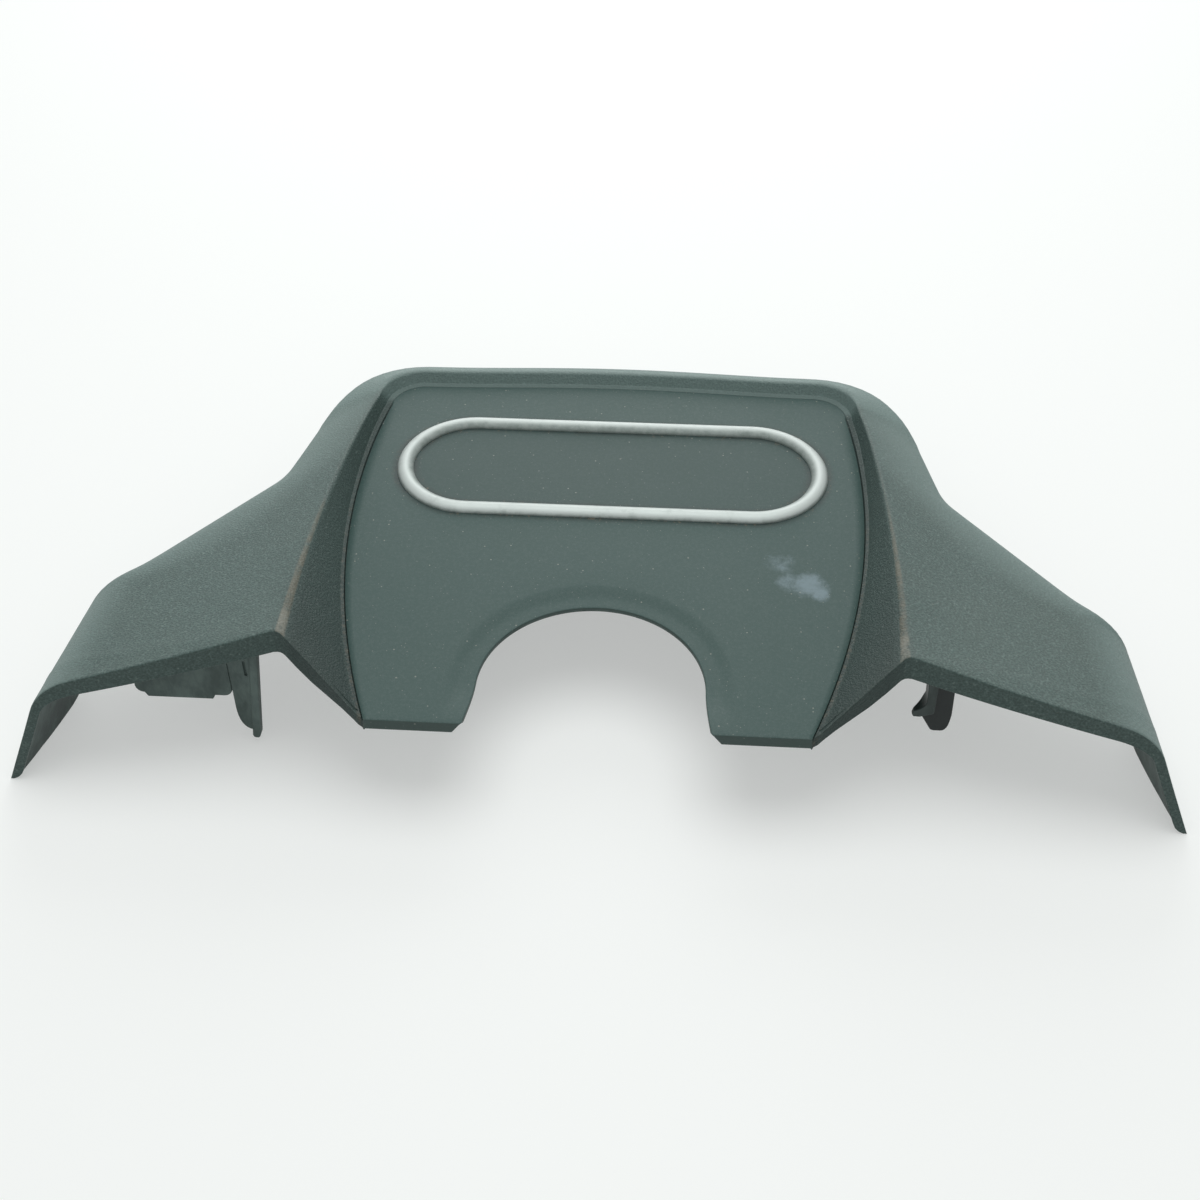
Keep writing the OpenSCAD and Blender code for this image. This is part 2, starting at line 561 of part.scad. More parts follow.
module cover_shell() color("#4b5150") translate([0, -mid_y, 0]) {
    difference() {
        skin();
        ring_bed();
    }
    panel_ribs();
    for (side = [-1, 1]) {
        wing_rib(side, wing_rib_front, bend_x - rib_t);
        wing_rib(side, wing_rib_back, back_edge_x(wing_rib_back) - 2 * rib_h);
    }
    for (x = [-rear_x, rear_x]) seat(x, rear_y, 0, seat_room);
    seat(-front_x, front_y, front_z, front_room, seat_run);
    blade();
    hook();
}
module panel_ribs() {
    for (x = [-rib_x, rib_x]) panel_rib([x, rib_y], [x, panel_d]);
    for (y = [cut_y + cut_r + 2 * lip_w + rib_gap, ring_y - rib_off, panel_d - rib_gap])
        panel_rib([-panel_x(y), y], [panel_x(y), y]);
}

// Half of the ring's section, with a crowned top
module ring_section() intersection() {
    rise = (ring_h + bed_d) * 0.6;
    crown_r = (ring_band * ring_band / 4 + rise * rise) / (2 * rise);
    translate([-ring_band / 2, 0]) square([ring_band, ring_h + bed_d]);
    translate([0, ring_h + bed_d - crown_r]) circle(r = crown_r, $fn = 96);
}
module trim_ring() color("silver") translate([0, -mid_y, 0]) at_ring() translate([0, 0, -bed_d]) {
    for (d = [-1, 1]) {
        translate([d * ring_half, 0, 0]) rotate([0, 0, -90 * d]) rotate_extrude(angle = 180, $fn = 96)
            translate([ring_r, 0]) ring_section();
        translate([-ring_half, d * ring_r, 0]) rotate([90, 0, 90])
            linear_extrude(2 * ring_half) ring_section();
    }
    for (q = pins) translate([q.x, q.y, -pin_l]) cylinder(d = pin_d, h = pin_l + ring_h / 2, $fn = 32);
}

module grommet(x, y, foot) color("#1b1c1d") translate([x, y - mid_y, foot + seat_up - flange_h]) {
    neck = flange_h + seat_t + seat_fit;
    difference() {
        union() {
            cylinder(d = grommet_d, h = flange_h - seat_fit, $fn = 64);
            cylinder(d = waist_d, h = grommet_h, $fn = 64);
            translate([0, 0, neck]) cylinder(d1 = grommet_d, d2 = waist_d, h = grommet_h - neck, $fn = 64);
        }
        translate([0, 0, -eps]) cylinder(d = socket_d, h = socket_h + eps, $fn = 48);
    }
}
module grommet_left_front() grommet(-front_x, front_y, front_z);
module grommet_left_rear() grommet(-rear_x, rear_y, 0);
module grommet_right_rear() grommet(rear_x, rear_y, 0);

cover_shell();
trim_ring();
grommet_left_front();
grommet_left_rear();
grommet_right_rear();
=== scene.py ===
from math import asin, atan, cos, pi, radians, sin, sqrt
from types import SimpleNamespace as Sizes

import bmesh
import bpy
import numpy as np
from mathutils import Matrix, Vector
from mathutils.geometry import tessellate_polygon


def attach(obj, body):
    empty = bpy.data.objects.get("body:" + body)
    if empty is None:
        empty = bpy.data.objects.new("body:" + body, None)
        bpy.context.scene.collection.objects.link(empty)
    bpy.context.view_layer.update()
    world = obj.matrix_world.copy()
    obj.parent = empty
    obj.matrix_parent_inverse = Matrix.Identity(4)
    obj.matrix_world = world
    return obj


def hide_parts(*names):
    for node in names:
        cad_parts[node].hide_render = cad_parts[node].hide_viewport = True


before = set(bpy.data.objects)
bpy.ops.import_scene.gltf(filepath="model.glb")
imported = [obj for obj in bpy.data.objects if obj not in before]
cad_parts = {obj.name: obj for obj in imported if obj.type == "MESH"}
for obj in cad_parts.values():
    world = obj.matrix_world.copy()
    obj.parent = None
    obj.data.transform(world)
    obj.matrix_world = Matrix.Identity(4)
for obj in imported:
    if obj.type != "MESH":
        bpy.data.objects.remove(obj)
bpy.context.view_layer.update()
mm = 0.001

# Sizes of the moulding, in millimetres, with y measured back from the front edge of the panel
cover = Sizes(
    panelWidth=258, footWidth=197, wideY=160, panelDepth=249, backWidth=246, cornerRadius=17, backBow=3.5,
    panelHeight=50.5, panelRise=0.0507,
    cutRadius=52, cutY=26, cutFlare=3, cutTurns=(50, 56, 90), lipWidth=8, lipStep=1.6, lipFlat=0.7,
    grooveWidth=1.2, grooveDepth=1, grooveFade=0.6, ledgeWidth=2.4, ledgeRise=0.3,
    kinkY=23.6, kinkHeight=79.2, rimHeight=69.5, slopeFront=27.8, slopeBack=3, slopeRun=30, slopePower=2,
    crestRadius=3, crestBack=5, rimWidth=8, rimFall=0.15, rimRadius=2.5, backWall=22,
    bendX=233, bendRadius=28, tipLean=67, tipTwist=0.26, leanMost=88, wingFall=0.24, wingBackFall=0.1125,
    flankFall=0.52, flankPower=0.7, valley=2, edgeRoll=2, rollWidth=18, paleWidth=62, foldBefore=12,
    foldWidth=24, tipRun=46, notchX=171.5, notchY=173.5, hipX=163.5, hipY=217, backX=240, backY=90.5,
    bandIn=13, bandOut=9, bandEnd=5, bandFoot=6, bandSteep=1.25, bandLeast=0.3, footCut=4.5, footRun=3,
    wingEdge=3, tipEdge=1.2, wall=2.6, frontY=-1, middleY=132.55)

# Places along one side, from 0 at its front to 1 where the back corner starts. It ends at 2, the back at 3
along = Sizes(
    flareEnd=0.15, tip=0.25, curve=0.38, corner=0.52, straight=0.77, notch=0.87, curveRun=0.2,
    cornerShare=0.2, edgeFrom=0.4, edgeRun=0.15, wallFrom=0.9, wallRun=1.2, grooveRun=0.2)

# How finely the skin is drawn, and how far edges are rounded
mesh = Sizes(
    sideLines=76, cornerLines=14, backLines=12, firstStation=0.018, innerWing=12, outerWing=30,
    innerShare=0.42, crestGap=1.15, crestShare=0.4, edgeGap=2.4, edgeShare=0.3, rimShare=0.02,
    bandSteps=(0, 0.14, 0.5, 0.82), cornerSteps=4, topRound=1.4, edgeRound=1.3, rimRound=0.55,
    insideRound=0.6, footRound=0.9, room=0.45, crestRoom=0.85, leastEven=0.55, bevel=0.35, ribBevel=0.3,
    slotBevel=0.25, hookBevel=0.4, bevelSteps=2, hardAngle=0.5)


# Curves of the moulding

def lerp(a, b, t):
    return a + (b - a) * t


def between(s, a, b):
    return (s - a) / (b - a)


def clamp(t):
    return min(1.0, max(0.0, t))


def smooth(t):
    c = clamp(t)
    return c * c * (3 - 2 * c)


def bend3(a, b, c, t):
    return lerp(lerp(a, b, t), lerp(b, c, t), t)


def curve(corners, steps):  # points on the bend that three corners make
    a, b, c = (vec(*q) for q in corners)
    return [tuple(bend3(a, b, c, k / steps)) for k in range(steps + 1)]


def vec(*parts):
    return np.array(parts, float)


def unit(v):
    return v / max(np.linalg.norm(v), 1e-9)


sideEnd = cover.panelDepth + cover.frontY - cover.cornerRadius
edgeWidth = cover.grooveWidth + cover.ledgeWidth
crestOff = edgeWidth + cover.slopeBack
fallAngle = atan(cover.wingFall)
backEdge = cover.panelDepth + cover.frontY + crestOff + cover.rimWidth


def panelHeight(y):
    return cover.panelHeight + cover.panelRise * y


def crestHeight(y):
    return lerp(cover.kinkHeight, cover.rimHeight, clamp(between(y, cover.kinkY, sideEnd)))


def panelEdgeX(y):
    if y < cover.wideY:
        return lerp(cover.panelWidth, cover.footWidth, between(y, cover.wideY, cover.frontY) ** 2) / 2
    return lerp(cover.panelWidth, cover.backWidth, between(y, cover.wideY, sideEnd) ** 2) / 2


def ridgeX(y):
    spread = clamp(between(y, sideEnd - cover.slopeRun, cover.kinkY)) ** cover.slopePower
    return panelEdgeX(y) + edgeWidth + lerp(cover.slopeBack, cover.slopeFront, spread)


def wingHeight(x, y):
    share = clamp(between(y, cover.kinkY, cover.notchY)) ** cover.flankPower
    flank = crestHeight(y) - lerp(cover.wingFall, cover.flankFall, share) * (x - ridgeX(y))
    plane = (cover.kinkHeight - cover.wingFall * (x - ridgeX(cover.kinkY))
             - cover.wingBackFall * (y - cover.kinkY))
    return max(flank, plane) + max(0, cover.valley - abs(flank - plane)) ** 2 / (4 * cover.valley)


def leanAt(y):
    return radians(min(cover.leanMost, cover.tipLean + cover.tipTwist * max(0, y)))


def bendArc(y):
    return cover.bendRadius * (leanAt(y) - fallAngle)


def curled(p, y):  # a wing's point from its distance along the skin
    if p <= cover.bendX:
        return vec(p, y, wingHeight(p, y))
    a = min(leanAt(y), fallAngle + (p - cover.bendX) / cover.bendRadius)
    rest = max(0, p - cover.bendX - bendArc(y))
    return np.array([
        cover.bendX + cover.bendRadius * (sin(a) - sin(fallAngle)) + rest * cos(a), y,
        wingHeight(cover.bendX, y) - cover.bendRadius * (cos(fallAngle) - cos(a)) - rest * sin(a)])


def skinAt(y, z):  # the distance along the skin at which a tip comes down to a height
    drop = cover.bendRadius * (cos(fallAngle) - cos(leanAt(y)))
    return cover.bendX + bendArc(y) + (wingHeight(cover.bendX, y) - drop - z) / sin(leanAt(y))


def cutDirection(s):
    angle = radians(np.interp(s, (along.flareEnd, 1, 2, 3), (0, *cover.cutTurns)))
    return vec(cos(angle), sin(angle))


def cutEdge(s):
    if s < along.flareEnd:
        return np.array([cover.cutRadius + cover.cutFlare * (1 - s / along.flareEnd) ** 1.5,
                         lerp(cover.frontY, cover.cutY, s / along.flareEnd)])
    return vec(0, cover.cutY) + cover.cutRadius * cutDirection(s)


def bow(u):  # how far the back stands out, from its middle at 0 to its corners at 1
    return cover.backBow * (1 - u * u) ** 2


def roundBack(s, off):
    centre = vec(cover.backWidth / 2 - cover.cornerRadius, sideEnd)
    a = pi / 2 * (s - 1)
    r = cover.cornerRadius + off
    if s < 2:
        return centre + r * vec(cos(a), sin(a))
    return vec(centre[0] * (3 - s), centre[1] + r + bow(3 - s))


def panelEdge(s):
    if s < 1:
        y = lerp(cover.frontY, sideEnd, s)
        return vec(panelEdgeX(y), y)
    return roundBack(s, 0)


def crestLine(s):
    if s < 1:
        y = lerp(cover.kinkY, sideEnd, s)
        return vec(ridgeX(y), y)
    return roundBack(s, crestOff)


def outline(s):
    back = vec(cover.backX, cover.backY)
    notch = vec(cover.notchX, cover.notchY)
    hip = vec(cover.hipX, cover.hipY)
    rim = vec(cover.backWidth / 2 - cover.cornerRadius - crestOff, backEdge)
    low = skinAt(cover.tipRun, cover.tipEdge)
    inNotch, outNotch = lerp(back, notch, 0.93), lerp(notch, hip, 0.2)
    if s < along.tip:
        y = cover.tipRun * s / along.tip
        return vec(skinAt(y, cover.tipEdge), y)
    way = vec(low, cover.tipRun), vec(low - 6, cover.backY - 8)
    if s < along.curve:
        return bend3(*way, back, (s - along.tip) / along.curveRun)
    if s < along.corner:
        curveEnd = bend3(*way, back, (along.curve - along.tip) / along.curveRun)
        return bend3(curveEnd, back, lerp(back, inNotch, along.cornerShare),
                     between(s, along.curve, along.corner))
    if s < along.straight:
        return lerp(back, inNotch, lerp(along.cornerShare, 1, between(s, along.corner, along.straight)))
    if s < along.notch:
        return bend3(inNotch, notch, outNotch, between(s, along.straight, along.notch))
    if s < 1:
        return lerp(outNotch, hip, between(s, along.notch, 1))
    if s < 2:
        return bend3(hip, vec(hip[0] - crestOff, rim[1]), rim, s - 1)
    return vec(rim[0] * (3 - s), backEdge + bow(3 - s))


def pastTip(s):  # from 0 at the tip to 1 behind its corner
    return smooth((s - along.edgeFrom) / along.edgeRun)


def edgeDown(s):
    drop = lerp(lerp(cover.tipEdge, cover.wingEdge, pastTip(s)), cover.backWall,
                smooth((s - along.wallFrom) / along.wallRun))
    if s < along.edgeFrom:
        a = leanAt(cover.tipRun * s / along.tip)
        return drop * vec(-cos(a) / sin(a), 0, 1)
    return vec(0, 0, drop)


def wingPoint(s, f):
    a, b = crestLine(s), outline(s)
    q = lerp(a, b, f)
    left, turn = (1 - f) * np.linalg.norm(b - a), smooth(s - 1)
    roll = cover.edgeRoll * pastTip(s) * (1 - turn) * (1 - clamp(left / cover.rollWidth)) ** 2
    if s < 1:
        ahead = (1 - s) ** 3 * cover.kinkY * ((1 - f) ** 1.6 - (1 - f))
        return curled(q[0], q[1] + ahead) - vec(0, 0, roll)
    y, r = min(q[1], sideEnd), cover.rimRadius * turn
    away = lerp(q[0] - ridgeX(y), np.linalg.norm(q - a), turn)
    edge = r - sqrt(r * r - (r - left) ** 2) if left < r else 0
    fall = lerp(cover.flankFall, cover.rimFall, clamp(s - 1)) * away
    return vec(q[0], q[1], crestHeight(y) - fall - edge - roll)


def stations():
    side = np.linspace(mesh.firstStation, 1, mesh.sideLines, endpoint=False)
    corner = np.linspace(1, 2, mesh.cornerLines, endpoint=False)
    back = np.linspace(2, 3, mesh.backLines + 1)
    return [0.0, *side, *corner, *back]


# One line across the skin. After x, y and z, each point carries the masks down to "deep", which is the depth
# in the groove. "worn" is for worn edges, "outer" for the painted sheen on the outer part of the wings
maskNames = ["panel", "ledge", "slope", "crest", "worn", "outer", "deep", "inside", "hookShade"]
wornColumn = 3 + maskNames.index("worn")
lipSteps = [0, 0.35, 0.7, 0.85, 0.95, 1.05, 1.12, 1.2, 1.28, 1.36, 1.44, 1.52, 1.6, 1.7, 1.8]
fieldSteps = [0.1, 0.22, 0.34, 0.46, 0.58, 0.7, 0.82, 0.93]
grooveShape = [(0, 0), (0.1, 0.1), (0.24, 0.8), (0.4, 1), (0.6, 1), (0.76, 0.8), (0.9, 0.1), (1, 0)]
ledgeSteps = [0.3, 0.65]
slopeSteps = [0.06, 0.2, 0.4, 0.6, 0.8]
footColumn = len(lipSteps) + len(fieldSteps) + len(grooveShape) + len(ledgeSteps)
crestColumn = footColumn + len(slopeSteps) + 1


def skinLine(s, detail):
    c0, cd, c1, c2 = cutEdge(s), cutDirection(s), panelEdge(s), crestLine(s)
    out = unit(c2 - c1)
    points = []

    def put(q, z, panel=0, ledge=0, slope=0, crest=0, worn=0, outer=0, deep=0):
        points.append([q[0], q[1], z, panel, ledge, slope, crest, worn, outer, deep])

    for t in lipSteps:
        q = c0 + cd * cover.lipWidth * t
        sunk = 1 - smooth(between(t, cover.lipFlat, lipSteps[-1]))
        put(q, panelHeight(q[1]) - cover.lipStep * smooth(s / along.flareEnd) * sunk, panel=1)
    lipEnd = c0 + cd * cover.lipWidth * lipSteps[-1]
    for f in fieldSteps:
        q = lerp(lipEnd, c1, f)
        put(q, panelHeight(q[1]), panel=1)
    atBack = smooth((s - along.wallFrom) / along.grooveRun)
    deep = cover.grooveDepth * (1 - atBack) * detail
    for t, d in grooveShape:
        q = c1 + out * cover.grooveWidth * t
        inner = int(t < 0.5)
        put(q, panelHeight(q[1]) - deep * d, panel=inner, ledge=1 - inner,
            deep=d * (1 - cover.grooveFade * atBack))
    for t in ledgeSteps:
        q = c1 + out * lerp(cover.grooveWidth, edgeWidth, t)
        put(q, panelHeight(q[1]) + cover.ledgeRise * t, ledge=1)
    q = c1 + out * edgeWidth
    foot = vec(q[0], q[1], panelHeight(q[1]) + cover.ledgeRise)
    put(q, foot[2], ledge=0.6, slope=0.4)
    top = vec(c2[0], c2[1], crestHeight(c2[1] if s < 1 else sideEnd))
    for t in slopeSteps:
        q = lerp(foot, top, t)
        put(q, q[2], slope=1)
    put(top, top[2], slope=0.5, crest=1, worn=1)
    length = np.linalg.norm(outline(s) - c2)
    first = min(mesh.crestShare, cover.crestRadius * mesh.crestGap / length)
    last = 1 - lerp(min(mesh.edgeShare, mesh.edgeGap / length), mesh.rimShare, smooth(s - 1))
    middle = lerp(first, last, mesh.innerShare)
    for f in [*np.linspace(first, middle, mesh.innerWing, endpoint=False),
              *np.linspace(middle, last, mesh.outerWing), 1.0]:
        q = wingPoint(s, f)
        edge = smooth((s - along.tip) / along.edgeRun) * smooth(1 - (1 - f) * length / cover.paleWidth)
        fold = smooth((lerp(c2, outline(s), f)[0] - cover.bendX + cover.foldBefore) / cover.foldWidth)
        put(q, q[2], outer=max(edge, fold))
    points[-1][wornColumn] = 1
    end = np.array(points[-1][:3]) - edgeDown(s)
    put(end, end[2])
    return points


def wingReach(point):  # distance along the skin of a point on the front line
    if point[0] <= cover.bendX:
        return point[0]
    s = (point[0] - cover.bendX) / cover.bendRadius + sin(fallAngle)
    if s < sin(leanAt(0)):
        return cover.bendX + cover.bendRadius * (asin(s) - fallAngle)
    return skinAt(0, point[2])


def bandLine(line):  # the lower edge of the front band, under the first line
    firstX, footX, cutX = ridgeX(cover.kinkY), line[footColumn][0], cover.cutRadius + cover.cutFlare
    low = []
    for j, point in enumerate(line):
        turn = 0
        if j <= footColumn:
            depth = cover.bandFoot
        elif j < crestColumn:
            share = between(point[0], footX, firstX)
            depth = lerp(cover.bandFoot, cover.bandIn, smooth(cover.bandSteep * share))
        else:
            p = wingReach(point)
            depth = lerp(cover.bandIn, cover.bandOut, clamp(between(p, firstX, cover.bendX)))
            if p >= cover.bendX:
                share = clamp((p - cover.bendX) / bendArc(0))
                depth, turn = lerp(cover.bandOut, cover.bandEnd, share), pi / 2 * share
            # Rounds the tip's end
            depth *= lerp(cover.bandLeast, 1, sqrt(1 - (1 - clamp(point[2] / cover.bandEnd)) ** 2))
        q = np.array(point[:3]) - depth * vec(sin(turn), 0, cos(turn))
        q[0] += cover.footCut * max(0, 1 - (point[0] - cutX) / (cover.footRun * cover.footCut))
        low.append([*q, *point[3:wornColumn], 1, point[wornColumn + 1], 0])
    return low


def bandRows(line):  # the low edge and a few rows between it and the first line, which aren't worn
    low, top = np.array(bandLine(line)), np.array(line)
    rows = [lerp(low, top, t) for t in mesh.bandSteps]
    for row in rows[1:]:
        row[:, wornColumn] = 0
    return [row.tolist() for row in rows]


def skinGrid(detail):
    lines = [skinLine(s, detail) for s in stations()]
    for point in lines[0]:
        point[wornColumn] = 1
    half = bandRows(lines[0]) + lines
    other = [[[-p[0], *p[1:]] for p in line] for line in reversed(half[:-1])]
    return np.array(half + other, float)


def inset(grid, depth):  # moves each point inward by an even wall
    p = grid[:, :, :3]
    a, b = p[1:, :-1] - p[:-1, 1:], p[1:, 1:] - p[:-1, :-1]
    face = np.cross(a, b)
    face /= np.maximum(np.linalg.norm(face, axis=2, keepdims=True), 1e-9)
    n, m = grid.shape[:2]
    total, count = np.zeros((n, m, 3)), np.zeros((n, m, 1))
    corners = [(slice(i, n - 1 + i), slice(j, m - 1 + j)) for j in (0, 1) for i in (0, 1)]
    for rows, columns in corners:
        total[rows, columns] += face
        count[rows, columns] += 1
    v = total / np.maximum(np.linalg.norm(total, axis=2, keepdims=True), 1e-9)
    even = np.zeros((n, m, 1))
    for rows, columns in corners:
        even[rows, columns] += np.sum(face * v[rows, columns], axis=2, keepdims=True)
    even = np.maximum(mesh.leastEven, even / count)
    moved = grid.copy()
    moved[:, :, :3] = p + v * depth / even
    moved[:, :, 2] = np.maximum(0, moved[:, :, 2])
    return moved


def softCorner(before, corner, after, radius, room=mesh.room):
    a, b = before - corner, after - corner
    lengthA = np.maximum(np.linalg.norm(a[:, :3], axis=1, keepdims=True), 1e-9)
    lengthB = np.maximum(np.linalg.norm(b[:, :3], axis=1, keepdims=True), 1e-9)
    a = a * np.minimum(radius / lengthA, room)
    b = b * np.minimum(radius / lengthB, room)
    steps = np.linspace(0, 1, mesh.cornerSteps + 1)
    return np.stack([corner + a * (1 - t) ** 2 + b * t ** 2 for t in steps])


def roundLine(grid, index, radius, room=mesh.room):  # softens one line of the grid
    soft = softCorner(grid[index - 1], grid[index], grid[index + 1], radius, room)
    return np.concatenate([grid[:index], soft, grid[index + 1:]])


def turned(grid):
    return grid.transpose(1, 0, 2)


def softened(grid, outside):
    last, first = grid.shape[1] - 2, len(mesh.bandSteps)
    for index in (grid.shape[0] - 1 - first, first):
        grid = roundLine(grid, index, mesh.topRound if outside else mesh.insideRound)
    grid = turned(grid)
    grid = roundLine(grid, last, mesh.edgeRound if outside else mesh.insideRound)
    toBack = np.clip((grid[crestColumn][:, 1:2] - sideEnd) / cover.cornerRadius, 0, 1)
    crestRadius = lerp(cover.crestRadius, cover.crestBack, toBack) if outside else mesh.insideRound
    grid = roundLine(grid, crestColumn, crestRadius, mesh.crestRoom)
    grid = roundLine(grid, footColumn, mesh.footRound)
    return turned(grid)


def withRims(outer, inner):  # rounds the four free edges, from each skin toward the other
    for _ in range(2):
        newOuter = [softCorner(inner[0], outer[0], outer[1], mesh.rimRound), outer[1:-1],
                    softCorner(outer[-2], outer[-1], inner[-1], mesh.rimRound)]
        newInner = [softCorner(outer[0], inner[0], inner[1], mesh.rimRound), inner[1:-1],
                    softCorner(inner[-2], inner[-1], outer[-1], mesh.rimRound)]
        outer, inner = turned(np.concatenate(newOuter)), turned(np.concatenate(newInner))
    return outer, inner


def addObject(name, data):
    thing = bpy.data.objects.new(name, data)
    bpy.context.scene.collection.objects.link(thing)
    return thing


class MeshParts:  # gathers points, faces and finish masks, then makes one object
    def __init__(self):
        self.points, self.faces, self.masks, self.smooth, self.hookShade = [], [], [], [], 0

    def add(self, points, faces, masks=None, smooth=None):
        start = len(self.points)
        self.points += [tuple(float(c) for c in p) for p in points]
        self.faces += [tuple(start + i for i in f) for f in faces]
        if masks is None:
            # The last mask darkens a part as painted shade, as set for the hook
            masks = [[0, 0, 0, 0, 0, 0, 0, 1, self.hookShade]] * len(points)
        self.masks += [list(row) for row in masks]
        self.smooth += smooth or [True] * len(faces)

    def make(self, name):
        data = bpy.data.meshes.new(name)
        place = [(x * mm, (y - cover.middleY) * mm, z * mm) for x, y, z in self.points]
        data.from_pydata(place, [], self.faces)
        for k, mask in enumerate(maskNames):
            layer = data.attributes.new(mask, "FLOAT", "POINT")
            layer.data.foreach_set("value", [row[k] for row in self.masks])
        data.polygons.foreach_set("use_smooth", self.smooth)
        data.validate()
        return addObject(name, data)


def buildSkin(parts):
    outer = softened(skinGrid(1), True)
    inner = softened(inset(skinGrid(0), cover.wall), False)
    outer, inner = withRims(outer, inner)
    n, m = outer.shape[:2]
    points = np.concatenate([outer.reshape(-1, outer.shape[2]), inner.reshape(-1, inner.shape[2])])
    k = n * m
    faces = []
    for i in range(n - 1):
        for j in range(m - 1):
            a, b, c, d = i * m + j, i * m + j + 1, (i + 1) * m + j + 1, (i + 1) * m + j
            faces.append((d, c, b, a))
            faces.append((k + a, k + b, k + c, k + d))
    for j in range(m - 1):
        faces.append((j, j + 1, k + j + 1, k + j))
        e = (n - 1) * m + j
        faces.append((k + e, k + e + 1, e + 1, e))
    for i in range(n - 1):
        a, b = i * m, (i + 1) * m
        faces.append((k + a, k + b, b, a))
        a, b = a + m - 1, b + m - 1
        faces.append((a, b, k + b, k + a))
    masks, carried = np.zeros((2 * k, len(maskNames))), maskNames.index("inside")
    masks[:k, :carried] = points[:k, 3:]
    masks[k:, carried] = 1
    parts.add(points[:, :3], faces, masks)
    return outer


# Solids under the skin

def midHeight(x, y):
    a, p, r = abs(x), panelEdgeX(y) + edgeWidth, ridgeX(y)
    if a < p:
        top = panelHeight(y)
    elif a < r:
        top = lerp(panelHeight(y), crestHeight(y), between(a, p, r))
    else:
        top = wingHeight(a, y)
    return top - cover.wall / 2


def softSolid(parts, points, faces, bevel):  # a closed solid with softened edges
    bm = bmesh.new()
    made = [bm.verts.new(p) for p in points]
    for f in faces:
        bm.faces.new([made[i] for i in f])
    bmesh.ops.recalc_face_normals(bm, faces=bm.faces)
    edges = [e for e in bm.edges if e.calc_face_angle(0) > mesh.hardAngle]
    soft = set(bmesh.ops.bevel(bm, geom=edges, offset=bevel, segments=mesh.bevelSteps, profile=0.5,
                               affect="EDGES", clamp_overlap=True)["faces"])
    bm.verts.index_update()
    parts.add([v.co[:] for v in bm.verts], [[v.index for v in f.verts] for f in bm.faces], None,
              [f in soft for f in bm.faces])
    bm.free()


def prism(parts, bottom, top, bevel=mesh.bevel):  # joins two outlines with as many corners
    n = len(bottom)
    faces = [list(range(n)), list(range(2 * n - 1, n - 1, -1))]
    faces += [[i, n + i, n + (i + 1) % n, (i + 1) % n] for i in range(n)]
    softSolid(parts, [*bottom, *top], faces, bevel)


def plate(parts, shape, y, thick, bevel=mesh.bevel):
    prism(parts, [(x, y, z) for x, z in shape], [(x, y + thick, z) for x, z in shape], bevel)


def hung(parts, x1, x2, y1, y2, z):  # a plate from the underside down to a height
    corners = [(x1, y1), (x2, y1), (x2, y2), (x1, y2)]
    prism(parts, [(x, y, z) for x, y in corners], [(x, y, midHeight(x, y)) for x, y in corners])


ribs = Sizes(
    thick=2, tip=1.4, deep=11, longX=64, frontY=14, off=10, gap=12, wingFront=76, wingBack=112,
    overlap=1, steps=8)


def panelRib(parts, a, b):
    way = unit(np.array(b, float) - np.array(a, float))
    side = vec(-way[1], way[0])
    low, high = [], []
    for end, q in ((-1, np.array(a, float)), (1, np.array(b, float))):
        for flank in (-1, 1):
            t = q + way * end * ribs.thick / 2
            h = panelHeight(t[1])
            p = t + side * flank * end * ribs.tip / 2
            low.append((p[0], p[1], h - cover.wall - ribs.deep))
            p = t + side * flank * end * ribs.thick / 2
            high.append((p[0], p[1], h - cover.wall / 2))
    prism(parts, low, high, mesh.ribBevel)


def wingRib(parts, side, y, xEnd):
    xs = [lerp(ridgeX(y) - ribs.overlap, xEnd, i / ribs.steps) for i in range(ribs.steps + 1)]
    rows = [(x, midHeight(x, y) - ribs.deep, ribs.tip / 2) for x in xs]
    rows += [(x, midHeight(x, y), ribs.thick / 2) for x in xs]
    points = [(side * x, y + ribs.thick / 2 + flank * half, z) for x, z, half in rows for flank in (-1, 1)]
    n = len(xs)
    faces = []
    for i in range(n - 1):
        l0, l1, h0, h1 = 2 * i, 2 * (i + 1), 2 * (n + i), 2 * (n + i + 1)
        faces += [(l0, l1, l1 + 1, l0 + 1), (h0, h0 + 1, h1 + 1, h1), (l0, h0, h1, l1),
                  (l0 + 1, l1 + 1, h1 + 1, h0 + 1)]
    e = n - 1
    faces += [(0, 1, 2 * n + 1, 2 * n), (2 * e, 2 * (n + e), 2 * (n + e) + 1, 2 * e + 1)]
    softSolid(parts, points, faces, mesh.ribBevel)


seats = Sizes(
    grommetWidth=22, grommetHeight=16, waist=16.4, socket=10, socketDeep=12, plate=2.6, gap=0.3, up=8,
    flange=5, room=3, frontRoom=9.8, wall=2.2, chamfer=4, step=2.5, run=4.5,
    rearX=92, rearY=208, frontX=190.5, frontY=46.5, frontZ=28, soft=0.8, turns=56)


